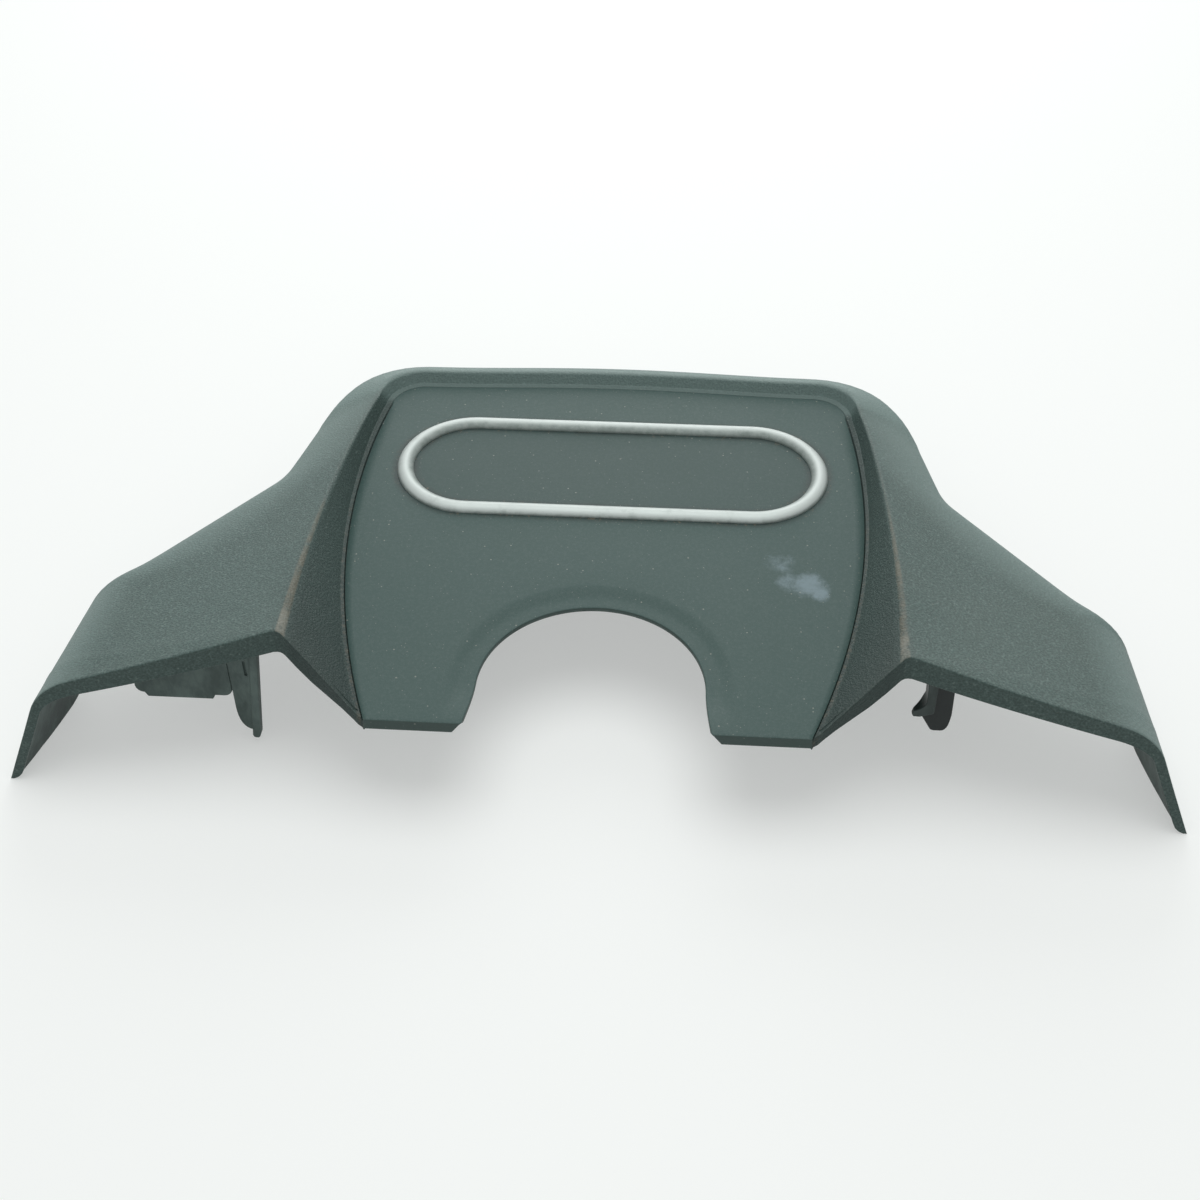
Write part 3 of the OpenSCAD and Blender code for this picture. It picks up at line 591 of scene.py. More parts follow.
def seat(parts, x, y, foot, room, run=0):
    wall, chamfer, step, reach = seats.wall, seats.chamfer, seats.step, seats.grommetWidth / 2
    half, out = reach + room, reach + room + wall
    y1, y2 = y - reach - seats.room - wall, y + reach + seats.room
    turns = np.linspace(0, pi / 2, 5)
    corner = [(chamfer * (1 - cos(a)), chamfer * (1 - sin(a))) for a in turns]
    inner, low = x + out - chamfer - run, foot + step
    shape = [(x - out, midHeight(x - out, y1)), *[(x - out + u, low + v) for u, v in corner],
             (x - out + chamfer + step / 2, foot), (inner - step / 2, foot), (inner, low)]
    shape += [(x + out - u, low + v) for u, v in reversed(corner if run else corner[:-1])]
    plate(parts, [*shape, (x + out, midHeight(x + out, y1))], y1, wall)
    for d in (-1, 1):
        a, b = x + d * (out - wall * 0.15), x + d * half
        hung(parts, min(a, b), max(a, b), y1 + wall / 2, y2, low + chamfer + 0.5)
    radius = seats.waist / 2 + seats.gap
    left, right = x - half - wall / 2, x + half + wall / 2
    back, front = y2 - wall / 2, y1 + wall / 2
    slot = [(x + radius * cos(a), y + radius * sin(a)) for a in np.linspace(pi, 2 * pi, 25)]
    edge = [(left, front), (right, front), (right, back), (x + radius, back), *reversed(slot),
            (x - radius, back), (left, back)]
    z = foot + seats.up
    prism(parts, [(*q, z) for q in edge], [(*q, z + seats.plate) for q in edge], mesh.ribBevel)


blade = Sizes(
    x=167.2, wide=16.8, end=9, low=9.3, lean=7.2, cut=15, rib=4.5, step=0.8, ribWide=3.8, nib=4.6, y=30,
    slotHigh=9, slotWide=1.2, slotZ=44, slotOff=1.2, slotDeep=1.2,
    nibShape=((1, 1.5), (0.88, 0.4), (0.7, 0), (0.3, 0), (0.1, 0.7), (0, 2)))


def plateWithSlot(parts, shape, slot, y, thick, deep, bevel):  # the slot doesn't go through
    n, m = len(shape), len(slot)
    front = tessellate_polygon([[Vector((x, 0, z)) for x, z in loop] for loop in (shape, slot)])
    points = [(x, y, z) for x, z in [*shape, *slot]] + [(x, y + thick, z) for x, z in shape]
    points += [(x, y + deep, z) for x, z in slot]
    faces = [tuple(f) for f in front]
    faces += [tuple(range(n + m, 2 * n + m)), tuple(range(2 * n + m, 2 * n + 2 * m))]
    faces += [(i, (i + 1) % n, n + m + (i + 1) % n, n + m + i) for i in range(n)]
    faces += [(n + i, n + (i + 1) % m, 2 * n + m + (i + 1) % m, 2 * n + m + i) for i in range(m)]
    softSolid(parts, points, faces, bevel)


def bladeSolid(parts):
    low, z, wide = blade.low, blade.slotZ, blade.ribWide
    root = blade.wide - blade.x
    end = root - blade.lean
    far = end - blade.end
    top = midHeight(-root, blade.y)
    ribEdge = lerp(root, end, (top - z) / (top - low)) - wide
    right = ribEdge - blade.slotOff
    left = right - blade.slotWide
    slot = [(left, z), (right, z), (right, z + blade.slotHigh), (left, z + blade.slotHigh)]
    cut = (-blade.x, low + blade.cut)
    shape = [(-blade.x, midHeight(blade.x, blade.y)), *curve((cut, (far - 0.6, low + 1), (far + 6, low)), 8),
             (end - 1, low), (root - 1, top)]
    plateWithSlot(parts, shape, slot, blade.y, ribs.thick, blade.slotDeep, mesh.slotBevel)
    nib = [(end - wide * u, low - blade.nib + v) for u, v in blade.nibShape]
    plate(parts, [(root - wide, top), *nib, (root, top - 0.5)], blade.y - blade.step, blade.rib,
          mesh.ribBevel)


hook = Sizes(
    x=163.5, wide=13, barb=5.5, barbZ=40.3, barbRise=7.5, low=27.9, cut=10, long=8, step=2.5, y=28, edge=0.35,
    taper=0.75, stemDark=0.6, bodyDark=0.92)


def hookSolid(parts):
    x, x1, low, z = hook.x, hook.x - hook.wide, hook.low, hook.barbZ
    edge, tip = x1 + hook.wide * hook.edge, x1 - hook.barb
    top = midHeight(x, hook.y + hook.long)
    barb = curve(((x1 + 0.5, z + hook.barbRise), (x1, z + 3.5), (tip + 0.8, z + 1.8)), 6)
    front = [(x1 - 0.5, top), *barb, (tip, z), (tip + 0.8, z - 1.6), (x1 - 1.8, z - 1.8), (edge - 1, z),
             (edge - 0.2, z + 0.5), (edge, z + 1.4), (edge, top)]
    back = [(u, hook.y + hook.long * (1 - hook.taper * clamp((x1 - u) / hook.barb)), v) for u, v in front]
    # The hook is darkened as painted shade under the wing's band, the body behind the stem most
    parts.hookShade = hook.stemDark
    prism(parts, [(u, hook.y, v) for u, v in front], back, mesh.hookBevel)
    toe = curve(((x - 0.4, low + 6), (x - 1, low), (x - 4, low)), 5)
    body = [(x1 + 2, top), (x1 + 2, z), (x1 - 1.5, z - 1.5), (x1 + 3.6, low + 1.8), (x1 + 4.4, low + 0.5),
            (x1 + 5.8, low), *reversed(toe), (x, low + hook.cut), (x - 1, top)]
    parts.hookShade = hook.bodyDark
    plate(parts, body, hook.y + hook.step, hook.long - hook.step, mesh.hookBevel)


def backEdgeX(y):
    return lerp(cover.backX, cover.notchX, between(y, cover.backY, cover.notchY))


def buildCover():
    parts = MeshParts()
    buildSkin(parts)
    for x in (-ribs.longX, ribs.longX):
        panelRib(parts, (x, ribs.frontY), (x, cover.panelDepth))
    cutBack = cover.cutY + cover.cutRadius + 2 * cover.lipWidth
    for y in (cutBack + ribs.gap, ring.y - ribs.off, cover.panelDepth - ribs.gap):
        panelRib(parts, (-panelEdgeX(y), y), (panelEdgeX(y), y))
    for side in (-1, 1):
        wingRib(parts, side, ribs.wingFront, cover.bendX - ribs.thick)
        wingRib(parts, side, ribs.wingBack, backEdgeX(ribs.wingBack) - 2 * ribs.deep)
    for x in (-seats.rearX, seats.rearX):
        seat(parts, x, seats.rearY, 0, seats.room)
    seat(parts, -seats.frontX, seats.frontY, seats.frontZ, seats.frontRoom, seats.run)
    bladeSolid(parts)
    hookSolid(parts)
    return parts.make("cover")


# The bright ring

ring = Sizes(
    long=224, wide=79, band=8.5, high=3.2, bed=0.8, y=181, pin=3, pinX=45, pinLong=4.2, crown=0.6,
    narrow=0.985, foot=0.15, steps=14, turns=40, runs=16, pinSides=24)
ring.centreR, ring.halfLong = (ring.wide - ring.band) / 2, (ring.long - ring.wide) / 2
ring.placeY = ring.y - cover.middleY


def onPanel(x, y, z):  # from the ring's own plane to the sloping panel
    tilt = atan(cover.panelRise)
    y += ring.y / cos(tilt)
    return (x, y * cos(tilt) - z * sin(tilt),
            cover.panelHeight + y * sin(tilt) + z * cos(tilt))


def loopFaces(n, m):  # joins each of n closed profiles of m points to the next one round
    faces = []
    for i in range(n):
        for j in range(m):
            ahead, beside = (i + 1) % n * m, (j + 1) % m
            faces.append((i * m + j, i * m + beside, ahead + beside, ahead + j))
    return faces


def buildRing():
    tall, half = ring.high + ring.bed, ring.band / 2
    rise = tall * ring.crown
    crown = (ring.band ** 2 / 4 + rise ** 2) / (2 * rise)
    section = [(-half + ring.foot, 0), (-half, ring.foot)]
    for i in range(ring.steps + 1):
        x = lerp(-half, half, i / ring.steps)
        section.append((x * ring.narrow, tall - crown + sqrt(crown ** 2 - x * x)))
    section += [(half, ring.foot), (half - ring.foot, 0)]
    path = []
    for side in (1, -1):
        for i in range(ring.turns + 1):
            a = -pi / 2 + pi * i / ring.turns
            x, y = side * cos(a), side * sin(a)
            path.append((side * ring.halfLong + ring.centreR * x, ring.centreR * y, x, y))
        for i in range(1, ring.runs):
            path.append((side * ring.halfLong * (1 - 2 * i / ring.runs), side * ring.centreR, 0, side))
    points = [onPanel(x + ox * u, y + oy * u, v - ring.bed) for x, y, ox, oy in path for u, v in section]
    parts = MeshParts()
    parts.add(points, loopFaces(len(path), len(section)))
    pins = [(d * (ring.halfLong + ring.centreR), 0) for d in (-1, 1)]
    pins += [(d * ring.pinX, e * ring.centreR) for d in (-1, 1) for e in (-1, 1)]
    turns = np.linspace(0, 2 * pi, ring.pinSides, endpoint=False)
    for px, py in pins:
        low, high = ([onPanel(px + ring.pin / 2 * cos(a), py + ring.pin / 2 * sin(a), z) for a in turns]
                     for z in (-ring.bed - ring.pinLong, 0))
        prism(parts, low, high, mesh.ribBevel)
    return parts.make("bright_ring")


# A rubber grommet, turned about its own axis

def buildGrommet(name, x, y, foot):
    r, w, h = seats.grommetWidth / 2, seats.waist / 2, seats.grommetHeight
    low, neck = seats.flange - seats.gap, seats.flange + seats.plate + seats.gap
    sock, deep, soft, turns = seats.socket / 2, seats.socketDeep, seats.soft, seats.turns
    profile = [(sock + soft, 0), (r - soft, 0), (r - 0.25, 0.25), (r, soft), (r, low - 0.6),
               (r - 0.2, low - 0.15), (r - 0.6, low), (w + 0.3, low), (w, low + 0.3), (w, neck - 0.3),
               (w + 0.3, neck), (r - 0.6, neck), (r - 0.15, neck + 0.25), (r - 0.35, neck + 0.7),
               (w + 0.6, h - 0.5), (w + 0.1, h - 0.1), (w - 0.6, h), (0.01, h)]
    inner = [(0.01, deep), (sock - 0.5, deep), (sock, deep - 0.5), (sock, soft), (sock + 0.25, 0.25)]
    loop = profile + inner
    base = foot + seats.up - seats.flange
    points = []
    for i in range(turns):
        a = 2 * pi * i / turns
        points += [(x + p * cos(a), y + p * sin(a), base + q) for p, q in loop]
    m, top = len(loop), len(profile) - 1
    faces = [face[::-1] for k, face in enumerate(loopFaces(turns, m)) if k % m != top]
    faces.append([i * m + top for i in range(turns)])
    faces.append([i * m + top + 1 for i in reversed(range(turns))])
    parts = MeshParts()
    parts.add(points, faces)
    return parts.make(name)


# Node maths

class Wire:
    def __init__(self, net, socket):
        self.net = net
        self.socket = socket

    def __add__(self, other):
        return self.net.maths("ADD", self, other)

    def __radd__(self, other):
        return self.net.maths("ADD", other, self)

    def __sub__(self, other):
        return self.net.maths("SUBTRACT", self, other)

    def __rsub__(self, other):
        return self.net.maths("SUBTRACT", other, self)

    def __mul__(self, other):
        return self.net.maths("MULTIPLY", self, other)

    def __rmul__(self, other):
        return self.net.maths("MULTIPLY", other, self)

    def __truediv__(self, other):
        return self.net.maths("DIVIDE", self, other)

    def __pow__(self, other):
        return self.net.maths("POWER", self, other)


class Net:
    def __init__(self, owner):  # of a material or a world
        owner.use_nodes = True
        self.tree = owner.node_tree
        self.tree.nodes.clear()

    def add(self, kind, settings=None, sockets=None, out=0):
        node = self.tree.nodes.new(kind)
        for key, value in (settings or {}).items():
            setattr(node, key, value)
        for key, value in (sockets or {}).items():
            if isinstance(value, Wire):
                self.tree.links.new(value.socket, node.inputs[key])
            else:
                node.inputs[key].default_value = value
        return Wire(self, node.outputs[out]) if len(node.outputs) else node

    def maths(self, operation, a, b=0.0, c=0.0, clampIt=False):
        return self.add("ShaderNodeMath", {"operation": operation, "use_clamp": clampIt}, {0: a, 1: b, 2: c})

    def mix(self, factor, a, b):
        return self.add("ShaderNodeMix", {"data_type": "RGBA", "clamp_factor": True},
                        {0: factor, 6: a, 7: b}, 2)

    def axis(self, vector, which):
        return self.add("ShaderNodeSeparateXYZ", None, {0: vector}, which)

    def mask(self, name):
        return self.add("ShaderNodeAttribute", {"attribute_type": "GEOMETRY", "attribute_name": name},
                        None, 2)

    def noise(self, place, scale, detail=2.0, rough=0.5):
        return self.add("ShaderNodeTexNoise", None,
                        {"Vector": place, "Scale": scale, "Detail": detail, "Roughness": rough})

    def cells(self, place, scale, feature="F1"):
        return self.add("ShaderNodeTexVoronoi", {"feature": feature}, {"Vector": place, "Scale": scale})

    def ramp(self, factor, low, high):  # 0 below low, 1 above high, soft between
        return self.add("ShaderNodeMapRange", {"interpolation_type": "SMOOTHSTEP", "clamp": True},
                        {"Value": factor, "From Min": low, "From Max": high, "To Min": 0.0, "To Max": 1.0})

    def spread(self, vector, scale):
        return self.add("ShaderNodeVectorMath", {"operation": "MULTIPLY"}, {0: vector, 1: scale})


def colour(r, g, b):
    return (r, g, b, 1.0)


class Finish:  # a material whose colour is laid on in layers
    def __init__(self, name, look, base=None):
        self.material = bpy.data.materials.new(name)
        self.net = Net(self.material)
        self.look = look
        self.base = base
        self.place = self.net.add("ShaderNodeTexCoord", None, None, 3)

    def noise(self, name, place=None):
        return self.net.noise(place or self.place, *self.look["noise"][name])

    def rise(self, value, name):  # from 0 to 1 over the range of that name
        return self.net.ramp(value, *self.look["range"][name])

    def grown(self, name, value):  # a share that grows with the value
        least, more = self.look["share"][name]
        return least + value * more

    def lay(self, factor, name):
        self.base = self.net.mix(factor, self.base, self.look[name])

    def close(self, roughness, height, shine):
        bump = self.net.add("ShaderNodeBump", None, {
            "Strength": self.look["bump"], "Distance": self.look["depth"], "Height": height})
        shader = self.net.add("ShaderNodeBsdfPrincipled", None, {
            "Base Color": self.base, "Roughness": roughness, "Normal": bump, **shine})
        self.net.add("ShaderNodeOutputMaterial", None, {0: shader})
        return self.material


# Noises are given as scale, detail and roughness. A range runs from none of a layer to all of it, and the
# share says how much it then covers
shellLook = dict(
    panel=colour(0.0295, 0.067, 0.061), surround=colour(0.096, 0.15, 0.139),
    # On the next line, slope is painted shade for steep faces, and the second colour is painted shade for
    # hollows and grooves
    slope=colour(0.066, 0.102, 0.093), paintedShade=colour(0.01, 0.022, 0.02),
    under=colour(0.108, 0.146, 0.136), underDark=colour(0.053, 0.075, 0.07),
    # The first colour on the next line darkens the hook as painted shade
    # dust on the next line is also laid as painted sheen on the hips
    hookShade=colour(0.008, 0.011, 0.0115), dust=colour(0.34, 0.35, 0.31), soil=colour(0.2, 0.16, 0.105),
    # The second colour on the next line is painted sheen for the back rim and the outer wings
    worn=colour(0.24, 0.28, 0.265), hazeAndSheen=colour(0.205, 0.28, 0.265), scuff=colour(0.26, 0.34, 0.38),
    # The next colour is painted shade and grime round the ring
    shadeAndGrime=colour(0.022, 0.029, 0.028),
    bump=1.0, depth=0.0004, specular=0.28, grainScale=1050.0, grainCells=0.7, grainSpeckle=0.6,
    panelRelief=0.05, insideRelief=0.1, mottleStretch=(1.0, 1.0, 0.45), filmLeast=0.01,
    filmMore=0.035, filmOffPanel=0.6, kinkBehind=6.0, spotCore=0.2, spotShare=0.6,
    cloudShare=0.75, crumbShare=0.35,
    noise=dict(
        speckle=(1260.0, 3.0, 0.65), fine=(2600.0, 2.0, 0.5), patches=(22.0, 4.0, 0.6),
        broad=(7.0, 3.0, 0.5), flecks=(420.0, 3.0, 0.7), streaks=(60.0, 4.0, 0.7),
        mottle=(90.0, 5.0, 0.65), hazeAndSheen=(650.0, 3.0, 0.6), cloud=(75.0, 6.0, 0.72),
        crumbs=(420.0, 4.0, 0.7)),
    range=dict(
        front=(-0.06, 0.07), slopeEnd=(0.085, 0.115), steepShade=(0.35, 0.8), steepEnd=(0.09, 0.11),
        panelTop=(0.5, 0.85), mottle=(0.32, 0.68), hollows=(0.3, 0.95), tops=(0.72, 1.0),
        fine=(0.45, 0.75), hazeAndSheen=(0.42, 0.7), lowSlope=(-0.14, 0.0), foot=(0.3, 0.75),
        facingUp=(0.6, 1.0), patches=(0.3, 0.75), broad=(0.35, 0.7), hips=(0.02, 0.09),
        hipsTop=(0.6, 0.9), rim=(0.098, 0.106), rimSheenTop=(0.1, 0.35), outer=(0.2, 0.6),
        ledgeFlecks=(0.46, 0.66), lying=(0.45, 0.7), crest=(0.5, 0.68), rubs=(0.36, 0.6),
        kink=(0.002, 0.016), kinkRubs=(0.4, 0.55), chipCrest=(0.55, 1.0), chips=(0.62, 0.72),
        worn=(0.6, 1.0), wornSpeckle=(0.4, 0.7), nearRing=(0.0, 0.0045), shadeAndGrime=(0.3, 0.7),
        ringFlecks=(0.58, 0.7), scuff=(0.78, 1.2), roughPatches=(0.3, 0.8)),
    share=dict(
        hollows=0.62, tops=0.3, fine=0.1, hazeAndSheen=0.06, lowSlope=0.7, foot=0.5, bareEdge=1.4,
        ledge=0.55, groove=0.75, hips=0.03, rim=0.46, outer=0.52, ledgeSoil=(0.02, 0.2),
        rubbed=(0.1, 0.28), kink=0.3, chips=0.6, worn=0.3, inRing=0.2, shadeAndGrime=(0.3, 0.5),
        ringSoil=0.5, scuff=0.6, specks=(0.12, 0.3, 0.58)),
    rough=dict(plain=0.47, coarse=0.06, patches=0.05, scuff=0.1, inside=0.1, hookShade=0.27),
    # Rub marks as x, y and reach in millimetres, then strength
    marks=((100.0, -35.0, 15.0, 1.0), (105.0, -41.0, 9.0, 1.0), (87.0, -20.0, 15.0, 0.62),
           (90.0, -33.0, 12.0, 0.75)),
    # Specks of dust as scale, share of cells without one, size and strength, and how their edges fade
    specks=((240.0, 0.8, 0.1, 0.55), (620.0, 0.86, 0.16, 0.4)), speckEdge=(0.6, 1.3), speckFade=0.03)


def ringReach(net, place):  # distance from the straight line that the ring runs round
    past = net.maths("MAXIMUM", net.maths("ABSOLUTE", net.axis(place, 0)) - ring.halfLong * mm, 0.0)
    return net.maths("SQRT", past * past + (net.axis(place, 1) - ring.placeY * mm) ** 2.0)


def coverFinish():
    look, share, rough = shellLook, shellLook["share"], shellLook["rough"]
    coat = Finish("grained_plastic", look)
    net, place, rise, lay, grown = coat.net, coat.place, coat.rise, coat.lay, coat.grown
    panel, ledge, crest = net.mask("panel"), net.mask("ledge"), net.mask("crest")
    worn, inside, hookShade = net.mask("worn"), net.mask("inside"), net.mask("hookShade")
    outside, clean = 1.0 - inside, 1.0 - ledge
    coarse = net.maths("SUBTRACT", 1.0 - panel, inside, 0.0, True)  # where the coarse grain is
    up, back = net.axis(net.add("ShaderNodeNewGeometry", None, None, 1), 2), net.axis(place, 1)
    speckle, fine, patches = coat.noise("speckle"), coat.noise("fine"), coat.noise("patches")
    flecks, streaks = coat.noise("flecks"), coat.noise("streaks")
    grain = net.cells(place, look["grainScale"], "SMOOTH_F1") * look["grainCells"]
    grain = grain + speckle * look["grainSpeckle"]

    toFront = 1.0 - rise(back, "front")
    slope = net.maths("MAXIMUM", net.mask("slope"), ledge) * (1.0 - rise(back, "slopeEnd"))
    # Painted shade: the slopes and the faces that turn away from the light take the darker slope colour, and
    # the panel keeps its own colour only where it faces up
    steepShade = net.maths("MAXIMUM", slope, (1.0 - rise(up, "steepShade")) * (1.0 - rise(back, "steepEnd")))
    coat.base = net.mix(panel * rise(up, "panelTop"), net.mix(steepShade, look["surround"], look["slope"]),
                        look["panel"])
    mottle = rise(coat.noise("mottle", net.spread(place, look["mottleStretch"])), "mottle")
    coat.base = net.mix(inside, coat.base, net.mix(mottle, look["underDark"], look["under"]))
    # Painted shade that darkens the hook under the wing's band
    lay(hookShade, "hookShade")
    # Grain: painted shade in the hollows between the pebbles, and paler tops
    lay(coarse * (1.0 - rise(grain, "hollows")) * share["hollows"], "paintedShade")
    lay(coarse * rise(grain, "tops") * share["tops"], "worn")
    lay(panel * rise(fine, "fine") * share["fine"], "worn")
    lay(panel * rise(coat.noise("hazeAndSheen"), "hazeAndSheen") * share["hazeAndSheen"], "worn")
    # Shade at the foot of the slopes, on the panel's front, and in the ledge and groove
    lay(slope * (1.0 - rise(back, "lowSlope")) * share["lowSlope"], "paintedShade")
    lay(panel * (1.0 - rise(up, "foot")) * share["foot"], "paintedShade")
    lay(worn * inside * share["bareEdge"], "worn")  # the bare edge of the wall
    lay(ledge * share["ledge"] + net.mask("deep") * share["groove"], "paintedShade")
    # A film of dust that lies where the part faces up, then painted sheen that makes the hips, rim and outer
    # wings paler
    facingUp = rise(up, "facingUp")
    film = look["filmLeast"] + rise(patches, "patches") * look["filmMore"]
    film = facingUp * (film + rise(coat.noise("broad"), "broad") * look["filmMore"]) * outside
    lay(film * (1.0 - panel * look["filmOffPanel"]) * clean, "dust")
    lay(rise(back, "hips") * coarse * rise(up, "hipsTop") * clean * share["hips"], "dust")
    lay(rise(back, "rim") * coarse * rise(up, "rimSheenTop") * share["rim"], "hazeAndSheen")
    lay(net.mask("outer") * coarse * rise(up, "outer") * share["outer"], "hazeAndSheen")
    # Dirt along the ledge and in the groove, more of it toward the front
    lay(ledge * rise(flecks, "ledgeFlecks") * grown("ledgeSoil", toFront), "soil")
    # Rubbed crest, with dust near the front corners and a few chips
    lying, onCrest = rise(up, "lying"), rise(crest, "crest")
    rubbed = onCrest * rise(streaks, "rubs") * (1.0 - rise(back, "hips")) * lying
    lay(rubbed * grown("rubbed", toFront), "soil")
    kinkPlace = (cover.kinkY + look["kinkBehind"] - cover.middleY) * mm
    kink = 1.0 - rise(net.maths("ABSOLUTE", back - kinkPlace), "kink")
    lay(kink * onCrest * rise(streaks, "kinkRubs") * lying * share["kink"], "dust")
    lay(rise(crest, "chipCrest") * rise(flecks, "chips") * toFront * lying * share["chips"], "dust")
    lay(rise(worn, "worn") * rise(speckle, "wornSpeckle") * share["worn"], "worn")
    # Painted shade and grime in a dark band along both sides of the ring
    reach = ringReach(net, place)
    away = net.maths("ABSOLUTE", reach - ring.centreR * mm) - ring.band / 2 * mm
    nearRing = (1.0 - rise(away, "nearRing")) * panel
    inRing = (1.0 - net.ramp(reach, (ring.centreR - ring.band) * mm, ring.centreR * mm)) * panel
    # The panel inside the ring is laid a little darker, in the same dark colour
    lay(inRing * share["inRing"], "paintedShade")
    lay(nearRing * grown("shadeAndGrime", rise(streaks, "shadeAndGrime")), "shadeAndGrime")
    lay(nearRing * rise(flecks, "ringFlecks") * share["ringSoil"], "soil")
    # Pale rub marks at the right of the panel
    spots = None
    for x, y, far, strength in look["marks"]:
        gap = net.add("ShaderNodeVectorMath", {"operation": "DISTANCE"},
                      {0: net.spread(place, (1.0, 1.0, 0.0)), 1: (x * mm, y * mm, 0.0)}, 1)
        spot = (1.0 - net.ramp(gap, look["spotCore"] * far * mm, far * mm)) * strength
        spots = spot if spots is None else net.maths("MAXIMUM", spots, spot)
    cloud = coat.noise("cloud") * look["cloudShare"] + coat.noise("crumbs") * look["crumbShare"]
    scuff = rise(spots * look["spotShare"] + cloud, "scuff") * panel
    lay(scuff * share["scuff"], "scuff")
    # Specks of dust, some small and some smaller
    (near, far), (least, onTop, onPanel) = look["speckEdge"], share["specks"]
    for scale, empty, size, strength in look["specks"]:
        seed = net.add("ShaderNodeTexVoronoi", {"feature": "F1"}, {"Vector": place, "Scale": scale}, 1)
        lucky = net.add("ShaderNodeSeparateColor", None, {0: seed}, 0)
        lucky = net.ramp(lucky, empty, empty + look["speckFade"])
        dots = (1.0 - net.ramp(net.cells(place, scale), size * near, size * far)) * lucky * outside
        lay(dots * (least + facingUp * onTop + panel * onPanel) * strength, "dust")

    roughness = (rough["plain"] + coarse * rough["coarse"] + rise(patches, "roughPatches") * rough["patches"]
                 + scuff * rough["scuff"] + inside * rough["inside"] - hookShade * rough["hookShade"])
    height = coarse * grain + panel * fine * look["panelRelief"] + inside * fine * look["insideRelief"]
    return coat.close(roughness, height, {"Specular IOR Level": look["specular"]})


ringLook = dict(
    # The second colour is dirt, and also painted shade on the band's inner side and foot
    paint=colour(0.48, 0.53, 0.512), dirtAndShade=colour(0.175, 0.212, 0.197), flake=colour(0.85, 0.86, 0.86),
    bump=0.4, depth=0.00003, metallic=0.35, rough=(0.44, 0.14, 0.15),
    innerShadeBand=(0.4, 0.02), footShadeBand=(0.36, 0.5),
    share=dict(inner=(0.6, 0.3), foot=(0.25, 0.4), cloud=0.3, flakes=0.12),
    noise=dict(cloud=(60.0, 4.0, 0.6), flakes=(3200.0, 2.0, 0.5), streaks=(240.0, 5.0, 0.7)),
    range=dict(streaks=(0.3, 0.7), cloud=(0.5, 0.75), cloudStreaks=(0.45, 0.62), flakes=(0.5, 0.8)))


def ringFinish():
    look = ringLook
    coat = Finish("satin_silver", look, look["paint"])
    net, rise, lay = coat.net, coat.rise, coat.lay
    cloud, flakes, streaks = coat.noise("cloud"), coat.noise("flakes"), coat.noise("streaks")
    reach = ringReach(net, coat.place)
    # Painted shade, with some dirt, on the inner side of the band and at its foot; the clouds are dirt
    inner = 1.0 - net.ramp(reach, *[(ring.centreR - part * ring.band) * mm for part in look["innerShadeBand"]])
    foot = net.ramp(net.maths("ABSOLUTE", reach - ring.centreR * mm),
                    *[part * ring.band * mm for part in look["footShadeBand"]])
    for name, band in (("inner", inner), ("foot", foot)):
        lay(band * coat.grown(name, rise(streaks, "streaks")), "dirtAndShade")
    lay(rise(cloud, "cloud") * rise(streaks, "cloudStreaks") * look["share"]["cloud"], "dirtAndShade")
    lay(rise(flakes, "flakes") * look["share"]["flakes"], "flake")
    plain, cloudy, innerRough = look["rough"]
    return coat.close(plain + cloud * cloudy + inner * innerRough, flakes, {"Metallic": look["metallic"]})


rubberLook = dict(
    rubber=colour(0.014, 0.014, 0.015), dust=colour(0.12, 0.11, 0.1), dustShare=0.25,
    bump=0.6, depth=0.00005, specular=0.35, rough=(0.72, 0.15),
    noise=dict(dusty=(120.0, 4.0, 0.65), pores=(1500.0, 2.0, 0.6)), range=dict(dusty=(0.5, 0.8)))


def rubberFinish():
    look = rubberLook
    coat = Finish("matt_rubber", look, look["rubber"])
    dusty, (plain, more) = coat.noise("dusty"), look["rough"]
    coat.lay(coat.rise(dusty, "dusty") * look["dustShare"], "dust")
    return coat.close(plain + dusty * more, coat.noise("pores"), {"Specular IOR Level": look["specular"]})


# The camera stands where the photographer stood

view = dict(focal=48.0, down=40.261, turn=4.102, roll=-0.350, away=845.08, aimX=6.49, aimY=145.91)


def placeCamera():
    e, psi, rho = (radians(view[k]) for k in ("down", "turn", "roll"))
    right0 = Vector((cos(psi), sin(psi), 0))
    ahead = Vector((-sin(psi), cos(psi), 0))
    forward = cos(e) * ahead - sin(e) * Vector((0, 0, 1))
    up0 = sin(e) * ahead + cos(e) * Vector((0, 0, 1))
    right = right0 * cos(rho) + up0 * sin(rho)
    up = up0 * cos(rho) - right0 * sin(rho)
    place = view["aimX"] * right0 + view["aimY"] * ahead - view["away"] * forward
    place.y -= cover.middleY
    data = bpy.data.cameras.new("photo_view")
    data.sensor_width = 36.0
    data.sensor_fit = "HORIZONTAL"
    data.lens = view["focal"]
    data.clip_start = 0.01
    camera = addObject("photo_view", data)
    turn = Matrix((right, up, -forward)).transposed().to_4x4()
    camera.matrix_world = Matrix.Translation(place * mm) @ turn
    bpy.context.scene.camera = camera


studio = dict(
    lamps=dict(back_softbox=(12.5, 1.5, (-0.1, 1.6, 0.8)), overhead_softbox=(14.5, 1.6, (0.0, 0.1, 1.7)),
              front_panel=(1.6, 1.2, (0.1, -1.6, 0.9))),
    aim=(0, 0, 0.05), worldDiffuse=0.385, pale=colour(0.985, 1.0, 0.99),
    floor=colour(0.93, 0.96, 0.945), floorRough=0.8, floorShine=0.2, floorLift=0.43,
    tableHalf=4.0, tableDrop=0.0002, fadeFrom=0.65, fadeTo=2.0)


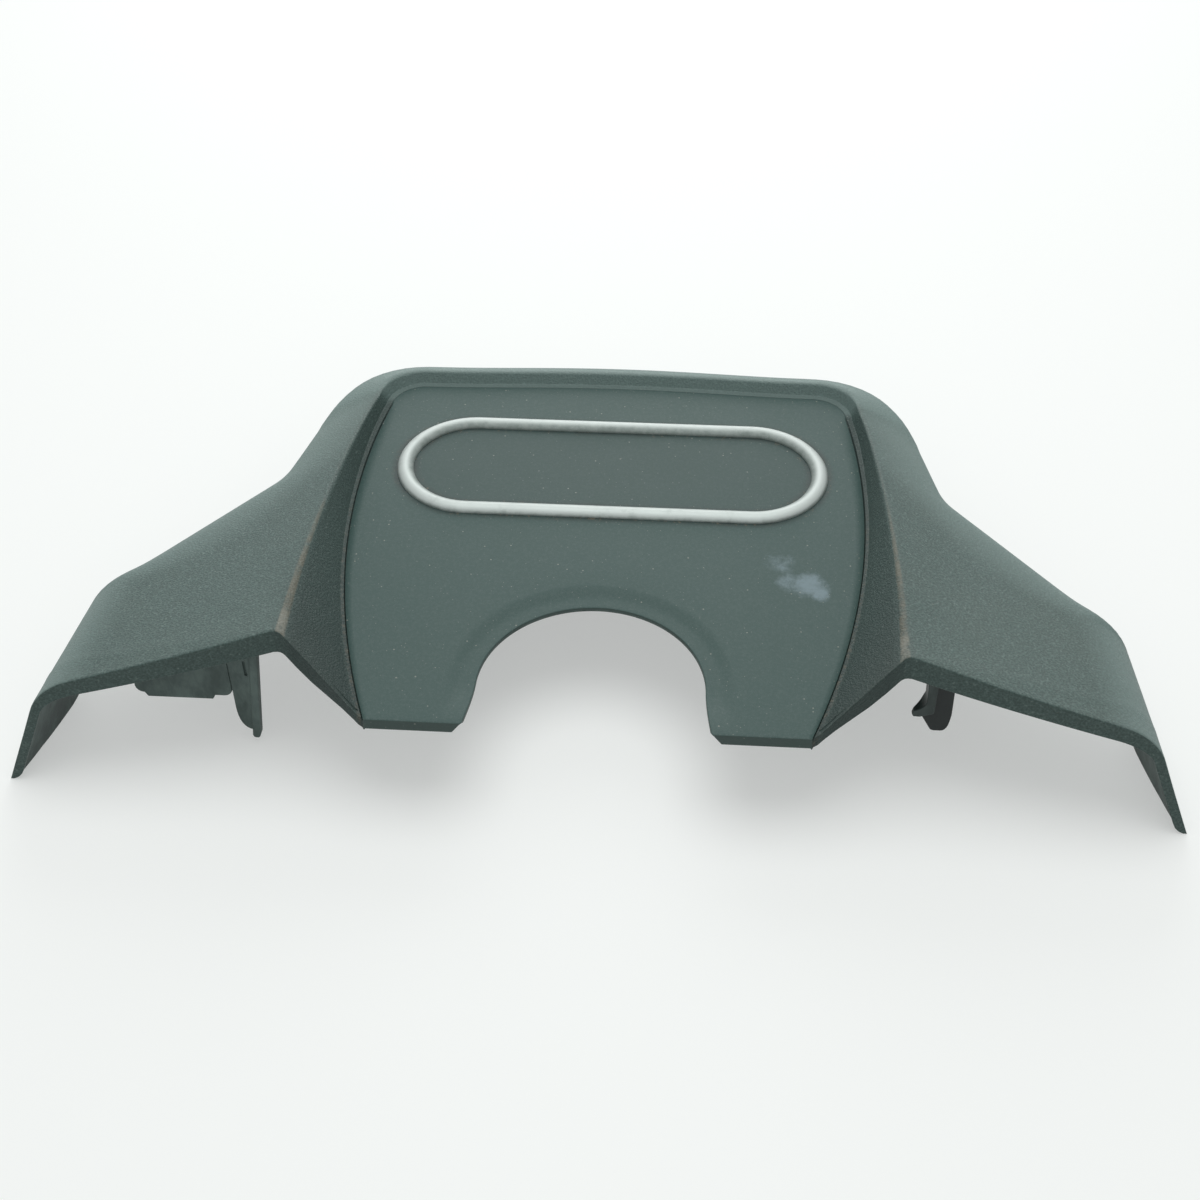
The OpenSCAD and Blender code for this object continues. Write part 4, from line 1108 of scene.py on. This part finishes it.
def addLamp(name, watts, size, place):
    data = bpy.data.lights.new(name, "AREA")
    data.shape = "DISK"
    data.size = size
    data.energy = watts
    lamp = addObject(name, data)
    lamp.location = place
    lamp.rotation_euler = (Vector(studio["aim"]) - Vector(place)).to_track_quat("-Z", "Y").to_euler()


def seenRay(net):  # 1 for rays that are seen or mirrored, 0 for rays that only light things
    seen = [net.add("ShaderNodeLightPath", None, None, key) for key in
            ("Is Camera Ray", "Is Glossy Ray", "Is Transmission Ray")]
    return net.maths("ADD", seen[0] + seen[1], seen[2], 0.0, True)


def buildStudio():
    for name, (watts, size, place) in studio["lamps"].items():
        addLamp(name, watts, size, place)
    world = bpy.data.worlds.new("white_room")
    bpy.context.scene.world = world
    net = Net(world)
    strength = studio["worldDiffuse"] + seenRay(net) * (1.0 - studio["worldDiffuse"])
    sky = net.add("ShaderNodeBackground", None, {0: studio["pale"], 1: strength})
    net.add("ShaderNodeOutputWorld", None, {0: sky})

    data = bpy.data.meshes.new("table")
    half = studio["tableHalf"]
    corners = [(-half, -half, 0), (half, -half, 0), (half, half, 0), (-half, half, 0)]
    data.from_pydata(corners, [], [(0, 1, 2, 3)])
    table = addObject("table", data)
    table.location.z = -studio["tableDrop"]
    material = bpy.data.materials.new("pale_table")
    net = Net(material)
    shader = net.add("ShaderNodeBsdfPrincipled", None, {
        "Base Color": studio["floor"], "Roughness": studio["floorRough"],
        "Specular IOR Level": studio["floorShine"]})
    glow = net.add("ShaderNodeEmission", None, {0: studio["pale"], 1: 1.0})
    # Far from the part the table takes on the room's own white, so that no edge shows
    place = net.add("ShaderNodeTexCoord", None, None, 3)
    reach = net.add("ShaderNodeVectorMath", {"operation": "LENGTH"}, {0: place}, 1)
    fade = net.ramp(reach, studio["fadeFrom"], studio["fadeTo"])
    lift = studio["floorLift"] + fade * (1.0 - studio["floorLift"])
    lifted = net.add("ShaderNodeMixShader", None, {0: seenRay(net) * lift, 1: shader, 2: glow})
    net.add("ShaderNodeOutputMaterial", None, {0: lifted})
    data.materials.append(material)


placeCamera()
buildStudio()
bpy.context.scene.view_settings.view_transform = "Standard"
print("camera, lamps and table are in place")

plastic = coverFinish()
coverBody = buildCover()
coverBody.data.materials.append(plastic)
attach(coverBody, "root")
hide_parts("cover_shell")
print("the cover has", len(coverBody.data.polygons), "faces")

brightRing = buildRing()
brightRing.data.materials.append(ringFinish())
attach(brightRing, "root")
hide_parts("trim_ring")
print("the ring is on the panel")

rubber = rubberFinish()
grommets = {"grommet_left_front": (-seats.frontX, seats.frontY, seats.frontZ),
            "grommet_left_rear": (-seats.rearX, seats.rearY, 0),
            "grommet_right_rear": (seats.rearX, seats.rearY, 0)}
for node, place in grommets.items():
    grommet = buildGrommet(node.replace("grommet", "rubber"), *place)
    grommet.data.materials.append(rubber)
    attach(grommet, "root")
    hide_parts(node)
print("three grommets are in their seats")
